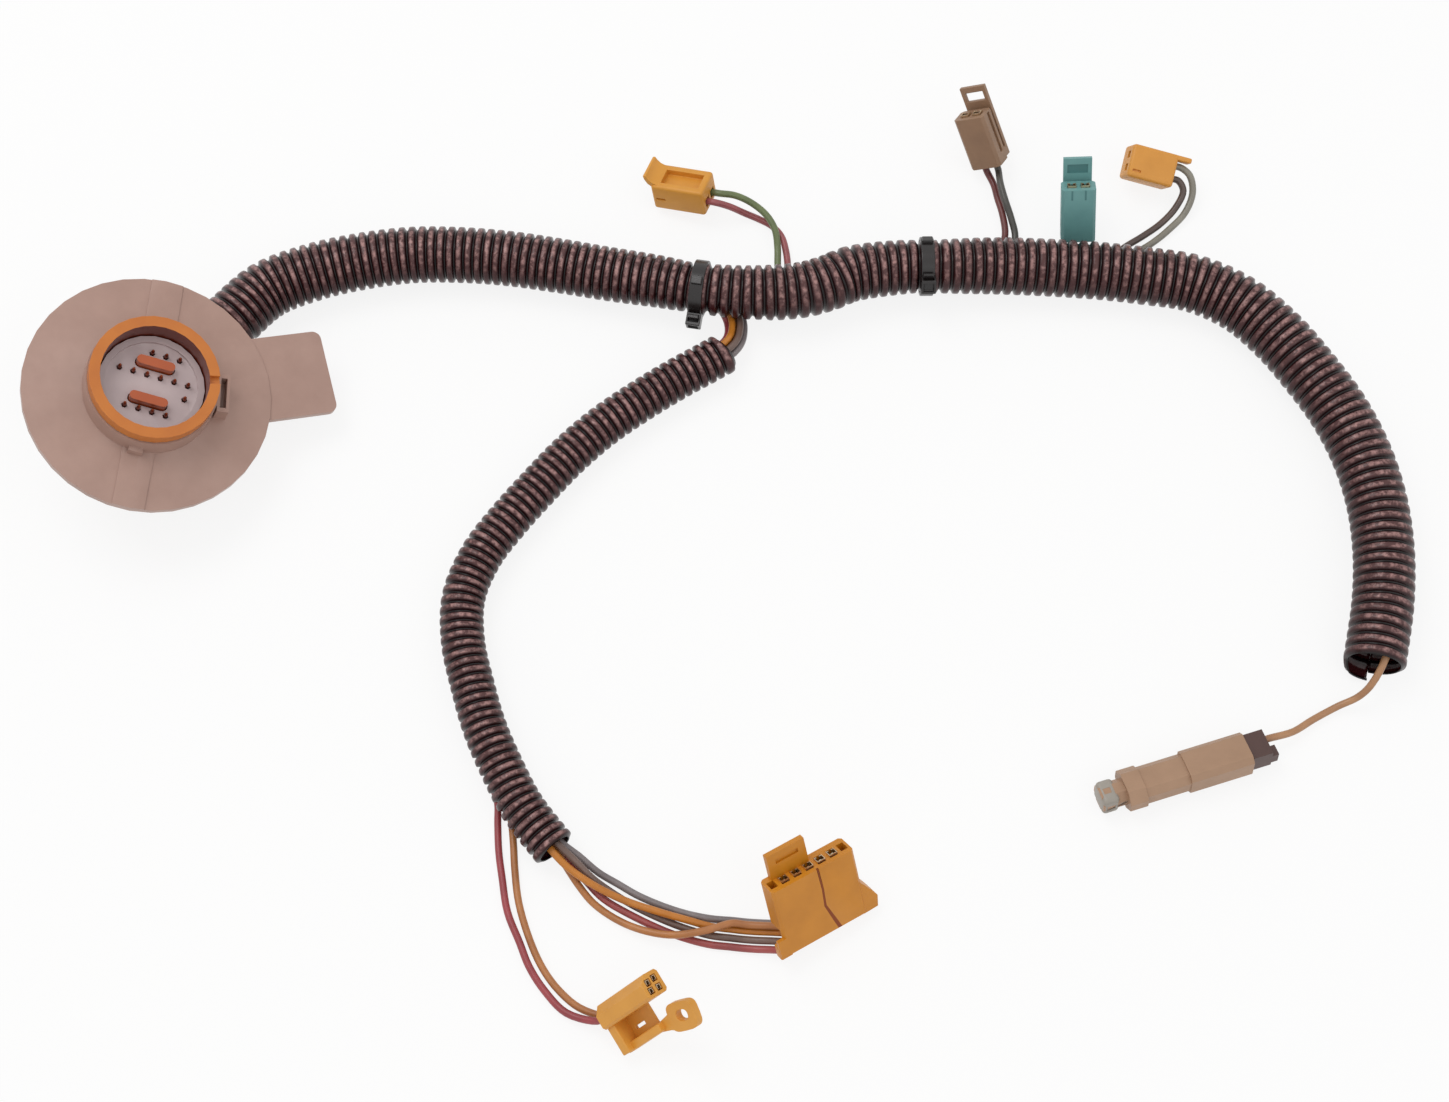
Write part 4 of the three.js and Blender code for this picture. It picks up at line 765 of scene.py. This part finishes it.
def loom_radius(station):
    """Outer radius of the main loom, pinched a little under its ties."""
    if station < TIE_STATION:
        plain = 9.4 + (8.4 - 9.4) * station / TIE_STATION
    else:
        plain = 8.7 + (9.15 - 8.7) * min((station - TIE_STATION) / 120, 1)
    pinch = sum(
        0.45 * math.exp(-((station - tie) / 14) ** 2) + 0.35 * math.exp(-((station - tie) / 4) ** 2)
        for tie in (TIE_STATION, MIDDLE_TIE_STATION))
    return plain - pinch


def smoothstep(value, low, high):
    share = min(max((value - low) / (high - low), 0.0), 1.0)
    return share * share * (3 - 2 * share)


def slit_spread(station, openings):
    widest = SLIT_HALF_ANGLE
    for start, end, spread in openings:
        inside = min(station - start, end - station) / OPENING_EASE + 1
        widest = max(widest, SLIT_HALF_ANGLE + (spread - SLIT_HALF_ANGLE) * smoothstep(inside, 0, 1))
    return widest


def cut_shift(angle):
    """The lower part of the far end was cut longer than the top."""
    return CUT_REACH * smoothstep(60 - abs(angle - 250), 0, 30)


class HARNESS_OT_looms(bpy.types.Operator):
    """Split corrugated looms: a grid laid round each route and ridged once per pitch"""

    bl_idname = "harness.looms"
    bl_label = "Looms"

    def execute(self, context):
        settings = context.scene.harness_loom
        # The crest colour paints a highlight and the groove colour paints shade on the loom.
        material = extruded_polyethylene(
            "Polyethylene loom", settings.crest, settings.flank, settings.groove_shade_colour)
        far_side = [(181, 204, 66), (251, 312, 62)]
        near_side = [(170, 190, 78)]
        branch_side = [(BRANCH.length - 36, BRANCH.length - 10, 90)]
        plans = (
            ("main_loom_near", MAIN, 0.8, TIE_STATION - 0.15, settings.near_pitch, 44, loom_radius, [], [], False),
            ("main_loom_far", MAIN, TIE_STATION + 0.15, MAIN.length - CUT_REACH, settings.far_pitch, 44,
             loom_radius, far_side, near_side, True),
            ("branch_loom", BRANCH, BRANCH_TUBE_START, BRANCH.length, settings.branch_pitch, 36,
             lambda station: 6.6, [], branch_side, False),
        )
        for name, route, start, end, pitch, columns, radius_at, far, near, uneven in plans:
            rows_each = 8
            convolutions = round((end - start) * MM / pitch)
            rows = convolutions * rows_each
            bm = bmesh.new()
            bmesh.ops.create_grid(bm, x_segments=columns, y_segments=rows, size=1.0)
            crest = bm.verts.layers.float.new("crest")
            upward = bm.verts.layers.float.new("upward")
            frames = {}
            for vert in bm.verts:
                row = round((vert.co.y + 1) / 2 * rows)
                share = (vert.co.x + 1) / 2
                station = start + (end - start) * row / rows
                if row not in frames:
                    frames[row] = (route.frame(station), slit_spread(station, far), slit_spread(station, near))
                (at, along, side, up), opened_far, opened_near = frames[row]
                away = abs((row % rows_each) / rows_each - 0.5) * 2
                height = 1 - smoothstep(away, 0.42, 0.92)
                angle = (-90 + opened_far) * (1 - share) + (270 - opened_near) * share
                turn = math.radians(angle)
                crown = 0.1 * (1 - away ** 2) - 0.1
                radius = radius_at(station) - settings.groove / MM * (1 - height) + crown
                shift = cut_shift(angle) * smoothstep(station, end - 4, end) if uneven else 0.0
                place = at + side * (radius * math.cos(turn)) + up * (radius * math.sin(turn)) + along * shift
                vert.co = world(place)
                vert[crest] = 1 - away
                # The upward attribute marks the top of the tube, where the crest colour paints a highlight.
                vert[upward] = max(0.0, math.sin(turn))
            for face in bm.faces:
                face.smooth = True
            bmesh.ops.recalc_face_normals(bm, faces=bm.faces)
            mesh = bpy.data.meshes.new(name + "_tube")
            bm.to_mesh(mesh)
            bm.free()
            loom = place_object(name + "_tube", mesh, material)
            wall = loom.modifiers.new("Wall", "SOLIDIFY")
            wall.thickness = settings.wall
            wall.offset = -1.0
            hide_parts(name)
        return {"FINISHED"}


class HARNESS_OT_ties(bpy.types.Operator):
    """The two black cable ties with their heads and cut tails"""

    bl_idname = "harness.ties"
    bl_label = "Cable ties"

    def execute(self, context):
        material = moulded_nylon("Black tie nylon", "#1C1717", "#0D0A0A", roughness=0.26)
        plans = (("cable_tie_junction", TIE_STATION, 192), ("cable_tie_middle", MIDDLE_TIE_STATION, 150))
        for node, station, head_angle in plans:
            at, along, side, up = MAIN.frame(station)
            inner = loom_radius(station) + 0.1
            outer = inner + TIE_THICKNESS
            half = TIE_WIDTH / 2
            bm = bmesh.new()
            add_block(bm, (inner + 0.1, -2.3, -2.3), (inner + 4.6, 2.3, 2.3))
            sink(bm, 1, -1, (inner + 1.4, -1.6), (inner + 3.4, 1.6), 1.2)
            sink(bm, 0, 1, (-1.3, -1.5), (1.5, 1.5), 0.7)
            add_block(bm, (inner + 1.5, -3.6, -1.7), (inner + 2.7, 3.4, 1.7))
            bm.transform(Matrix.Rotation(math.radians(head_angle), 4, "Z"))
            stub = bmesh.new()
            add_block(stub, (inner + 0.2, -1.4, -1.7), (inner + 2.0, 1.4, 1.7))
            stub.transform(Matrix.Rotation(math.radians(head_angle - 90), 4, "Z"))
            stub_mesh = bpy.data.meshes.new("tie_stub")
            stub.to_mesh(stub_mesh)
            stub.free()
            bm.from_mesh(stub_mesh)
            bpy.data.meshes.remove(stub_mesh)
            turn_profile(bm, [(inner, -half), (outer, -half), (outer, half), (inner, half)], 64)
            axes = Matrix((side, up, along)).transposed().to_4x4()
            tie = finish_moulding(
                bm, node + "_strap", [material], 0.3, matrix=grid_to_world() @ Matrix.Translation(at) @ axes)
            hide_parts(node)
        return {"FINISHED"}


class HARNESS_OT_connector(bpy.types.Operator):
    """Flange, shell, contact face, pins and rear cover of the round connector"""

    bl_idname = "harness.connector"
    bl_label = "Round connector"

    def execute(self, context):
        settings = context.scene.harness_mould
        edge = settings.edge / MM
        flange = moulded_nylon("Tan flange nylon", settings.flange, "#927266", roughness=0.34)
        moulded_copy("connector_flange", "connector_flange_moulding", flange, 0.4, 3)
        face = moulded_nylon("Grey contact insulator", "#C7B5B4", "#A28F92", roughness=0.3)
        moulded_copy("contact_face", "contact_face_moulding", face, 0.15)
        cover = moulded_nylon("Tan cover nylon", "#8E7568", "#6E564A", roughness=0.5)
        moulded_copy("rear_cover", "rear_cover_moulding", cover, edge)

        shell = copy_node("connector_shell")
        to_axis = (grid_to_world() @ connector_matrix()).inverted()
        for part in shell.faces:
            middle = to_axis @ part.calc_center_median()
            radius = math.hypot(middle.x, middle.y)
            if radius < BAR_REACH and middle.z > 1.2:
                part.material_index = 2
            elif radius < SHELL_INNER_RADIUS + 0.05 and middle.z > 1.2:
                part.material_index = 1
        finishes = [
            moulded_nylon("Orange shell nylon", settings.shell, "#A4511C", roughness=0.34),
            moulded_nylon("Shaded shell nylon", "#6C240E", "#48150A", roughness=0.3),
            moulded_nylon("Glossy index bar nylon", "#B9592A", "#8C3615", roughness=0.2),
        ]
        shell = finish_moulding(shell, "connector_shell_moulding", finishes, edge, 3)
        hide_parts("connector_shell")

        pin = stamped_brass("Tarnished contact pin", "#9A4E30", "#6A2A18")
        brass = stamped_brass("Tarnished contact brass", "#C9AE74", "#8A6A3C")
        for node in sorted(frame["nodes"]):
            if node.startswith("contact_pin_"):
                moulded_copy(node, node + "_contact", pin, 0.15)
            if node.startswith("five_way_terminal_"):
                moulded_copy(node, node + "_contact", brass, 0.1)
        return {"FINISHED"}


PLUG_FINISHES = {
    "near_yellow_plug": ("Yellow housing nylon", "#DD9A36", "#B5721C", "yellow"),
    "tan_plug": ("Tan housing nylon", "#967459", "#6E5240", "tan"),
    "teal_plug": ("Teal housing nylon", "#6C9F9D", "#457476", "teal"),
    "far_yellow_plug": ("Pale yellow housing nylon", "#E09A3C", "#BA7626", "yellow"),
    "five_way_plug": ("Amber housing nylon", "#D08618", "#A6640E", "amber"),
    "arm_plug": ("Light amber housing nylon", "#E09E3E", "#BC7A26", "arm"),
    "sensor_plug": ("Grey tan housing nylon", "#AC886C", "#86684F", "sensor"),
    "sensor_lock": ("Dark brown lock nylon", "#50342E", "#2E1A16", "lock"),
}


def near_yellow_form(bm):
    """A round-edged box with a long blind window on top and a lip that flares up at its mating end."""
    add_block(bm, (-5.4, -3.5, 0), (5.4, 6.2, 17.8), rounding=1.0)
    sink(bm, 1, 1, (-3.0, 2.2), (3.0, 15.0), 2.1)
    sink(bm, 2, 1, (-4.2, -2.4), (4.2, 2.4), 7.0)
    for hand in (-1, 1):
        middle = 2.1 * hand
        sink(bm, 2, -1, (middle - 1.45, -1.45), (middle + 1.45, 1.45), 6.0)
    sink(bm, 0, 1, (0.5, 13.4), (1.2, 16.4), 0.9)
    add_prism(bm, [
        (4.6, 15.4), (5.0, 17.6), (6.2, 19.0), (8.0, 19.9), (9.4, 20.1), (9.6, 19.2), (8.4, 18.6), (7.2, 17.6),
        (6.5, 16.2), (6.1, 15.0)], 0, -4.6, 4.6)


def far_yellow_form(bm):
    """The same round-edged box, shorter, seen from below, with a lug past its wire end."""
    add_block(bm, (-5.4, -3.5, 0), (5.4, 5.8, 15.5), rounding=1.1)
    for hand in (-1, 1):
        middle = 2.1 * hand
        sink(bm, 2, 1, (middle - 1.1, -1.1), (middle + 1.1, 1.1), 6.0)
        sink(bm, 2, -1, (middle - 1.45, -1.45), (middle + 1.45, 1.45), 6.0)
    sink(bm, 1, -1, (-3.4, 11.4), (-2.7, 14.2), 0.7)
    add_block(bm, (3.6, -3.3, -4.4), (5.3, 0.6, 1.4), rounding=0.5)


def arm_form(bm):
    """A slim sloped body beside a tray, whose outer rail runs on into a flat paddle with a hole."""
    add_prism(bm, [
        (4.2, -0.9), (4.2, 2.7), (3.4, 3.5), (-3.4, 3.5), (-4.2, 2.7), (-4.2, -2.7), (-3.4, -3.5), (1.6, -3.5),
    ], 2, 0, 21.5)
    for across, up in ARM_CAVITIES:
        sink(bm, 2, 1, (across - 1.15, up - 1.0), (across + 1.15, up + 1.0), 3.2)
    add_block(bm, (-4.1, 2.5, 0), (2.8, 12.2, 3.0), rounding=0.4)
    add_ring(
        bm, [(2.6, 1.0), (11.6, 1.0), (11.6, 12.6), (2.6, 12.6)], [(6.9, 4.4), (7.9, 4.4), (7.9, 8.6), (6.9, 8.6)],
        0, -4.0, -2.7)
    add_block(bm, (-4.2, 9.8, 0), (0.6, 12.4, 15.4), rounding=0.5)
    add_prism(bm, [(9.9, 12.8), (12.3, 12.8), (13.4, 16.8), (15.2, 20.2), (8.6, 21.2), (9.3, 17.6)], 0, -4.15, -1.55)
    add_ring(
        bm, rounded_outline((11.7, 22.8), (4.2, 4.9), 0.5, math.radians(-14)),
        rounded_outline((11.5, 23.2), (1.6, 2.1), 0.8, math.radians(-14)), 0, -4.2, -1.5)


def five_way_form(bm):
    """The solid with its larger right foot and the floor of its tab's blind slot, about the plug's own axes."""
    add_prism(bm, [(12.5, -0.4), (17.2, -0.2), (17.8, 3.6), (16.2, 6.6), (12.9, 11.6), (12.5, 11.6)], 1, -3.3, 2.5)
    add_block(bm, (-8.5, 2.0, 27.8), (-0.7, 2.8, 30.0))
    add_block(bm, (-15.6, -3.4, -0.8), (-11.6, -0.4, 3.8), rounding=0.5)


ARM_CAVITIES = [(-1.7, -1.3), (1.3, -0.9), (-1.7, 1.5), (1.7, 1.5)]
OWN_FORMS = {"near_yellow_plug": near_yellow_form, "far_yellow_plug": far_yellow_form, "arm_plug": arm_form}
# Contacts seen at a mating face: their places across the plug, half width and the face's level
CONTACTS = {
    "near_yellow_plug": ([(-2.1, 0), (2.1, 0)], 1.1, 15.0),
    "tan_plug": ([(-2.1, 0), (2.1, 0)], 1.35, 18.6),
    "teal_plug": ([(-2.1, 0), (2.1, 0)], 1.35, 18.7),
    "far_yellow_plug": ([(-2.1, 0), (2.1, 0)], 0.9, 14.6),
    "arm_plug": (ARM_CAVITIES, 0.75, 21.3),
    "five_way_plug": ([(4.0 * index, -0.4) for index in range(-2, 3)], 1.3, 24.1),
}


def add_contact(bm, across, up, half, level):
    """A stamped box contact: its floor, two walls with rolled lips and the tongue between them."""
    thin = 0.22
    low = level - 3.0
    add_block(bm, (across - half, up - half, low), (across + half, up - half + thin, level))
    for hand in (-1, 1):
        wall = across + hand * (half - thin / 2)
        add_block(bm, (wall - thin / 2, up - half, low), (wall + thin / 2, up + half * 0.8, level))
        lip = across + hand * half * 0.62
        add_block(bm, (lip - half * 0.3, up + half * 0.55, low), (lip + half * 0.3, up + half * 0.8, level - 0.2))
    add_block(bm, (across - half * 0.3, up - half * 0.4, low), (across + half * 0.3, up - half * 0.15, level - 0.5))


class HARNESS_OT_plugs(bpy.types.Operator):
    """The seven plug housings, the sensor plug's lock and tip, and the contacts at the mating faces"""

    bl_idname = "harness.plugs"
    bl_label = "Plugs"

    def execute(self, context):
        edge = context.scene.harness_mould.edge / MM
        to_world = grid_to_world()
        for node, (name, light, dark, slot_name) in PLUG_FINISHES.items():
            material = moulded_nylon(name, light, dark)
            pose = to_world @ plug_matrix("sensor_plug" if node == "sensor_lock" else node)
            if node in OWN_FORMS:
                bm = bmesh.new()
                OWN_FORMS[node](bm)
                housing = finish_moulding(bm, node + "_housing", [material], 0.22, matrix=pose)
            elif node == "five_way_plug":
                bm = copy_node(node)
                bm.transform(pose.inverted())
                five_way_form(bm)
                housing = finish_moulding(bm, node + "_housing", [material], edge, matrix=pose)
            else:
                housing = finish_moulding(copy_node(node), node + "_housing", [material], edge)
            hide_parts(node)

        tin = stamped_brass("Dull tinned contact", "#EBDCC0", "#B08E66")
        for plug, (places, half, level) in CONTACTS.items():
            bm = bmesh.new()
            for across, up in places:
                add_contact(bm, across, up, half, level)
            contacts = finish_moulding(
                bm, plug + "_contacts", [tin], 0.05, segments=1, matrix=to_world @ plug_matrix(plug))

        dark = moulded_nylon("Shaded gap in the housing", "#8A3E08", "#5A2406", roughness=0.7)
        bm = bmesh.new()
        crack = [(1.4, 23.5, 0.22), (1.6, 16, 0.3), (1.2, 10, 0.4), (3.0, 4, 0.55), (4.2, 0, 0.6)]
        outline = [(x - half, z) for x, z, half in reversed(crack)] + [(x + half, z) for x, z, half in crack]
        add_prism(bm, outline, 1, -3.62, -3.0)
        gap = finish_moulding(bm, "five_way_crack_floor", [dark], 0.02, 1, to_world @ plug_matrix("five_way_plug"))

        web = moulded_nylon("Shaded teal web", "#4A7C7C", "#2F5658")
        bm = bmesh.new()
        add_block(bm, (-3.4, 5.4, 19.8), (3.4, 5.9, 23.2))
        for hand in (-1, 1):
            add_block(bm, (2.1 * hand - 0.3, -3.55, 14.6), (2.1 * hand + 0.3, -3.1, 17.9))
        fill = finish_moulding(bm, "teal_plug_web", [web], 0.05, 1, to_world @ plug_matrix("teal_plug"))

        grey = moulded_nylon("Grey tip nylon", "#A39C92", "#6F675E")
        bm = bmesh.new()
        add_block(bm, (-3.9, -3.6, 41.0), (3.9, 3.6, 46.1), rounding=1.2)
        sink(bm, 1, 1, (-0.9, 42.6), (0.9, 44.8), 1.0)
        sink(bm, 0, 1, (-0.9, 42.4), (0.9, 44.8), 1.0)
        sink(bm, 0, -1, (-0.9, 42.4), (0.9, 44.8), 1.0)
        tip = finish_moulding(bm, "sensor_plug_tip", [grey], 0.15, 2, to_world @ plug_matrix("sensor_plug"))
        return {"FINISHED"}


class HARNESS_PT_panel(bpy.types.Panel):
    """Lists the harness's pieces and the stage"""

    bl_label = "Wiring harness"
    bl_space_type = "VIEW_3D"
    bl_region_type = "UI"
    bl_category = "Harness"

    def draw(self, context):
        column = self.layout.column()
        for operator in OPERATORS:
            column.operator(operator.bl_idname)


SETTINGS = (StageSettings, LoomSettings, MouldSettings)
OPERATORS = (
    HARNESS_OT_stage, HARNESS_OT_plugs, HARNESS_OT_leads, HARNESS_OT_looms, HARNESS_OT_ties,
    HARNESS_OT_connector,
)
CLASSES = (*SETTINGS, *OPERATORS, HARNESS_PT_panel)


def register():
    for cls in CLASSES:
        bpy.utils.register_class(cls)
    bpy.types.Scene.harness_stage = bpy.props.PointerProperty(type=StageSettings)
    bpy.types.Scene.harness_loom = bpy.props.PointerProperty(type=LoomSettings)
    bpy.types.Scene.harness_mould = bpy.props.PointerProperty(type=MouldSettings)


def unregister():
    del bpy.types.Scene.harness_mould
    del bpy.types.Scene.harness_loom
    del bpy.types.Scene.harness_stage
    for cls in reversed(CLASSES):
        bpy.utils.unregister_class(cls)


def main():
    register()
    bpy.ops.harness.stage()
    bpy.ops.harness.plugs()
    bpy.ops.harness.leads()
    bpy.ops.harness.looms()
    bpy.ops.harness.ties()
    bpy.ops.harness.connector()


if __name__ == "__main__":
    main()
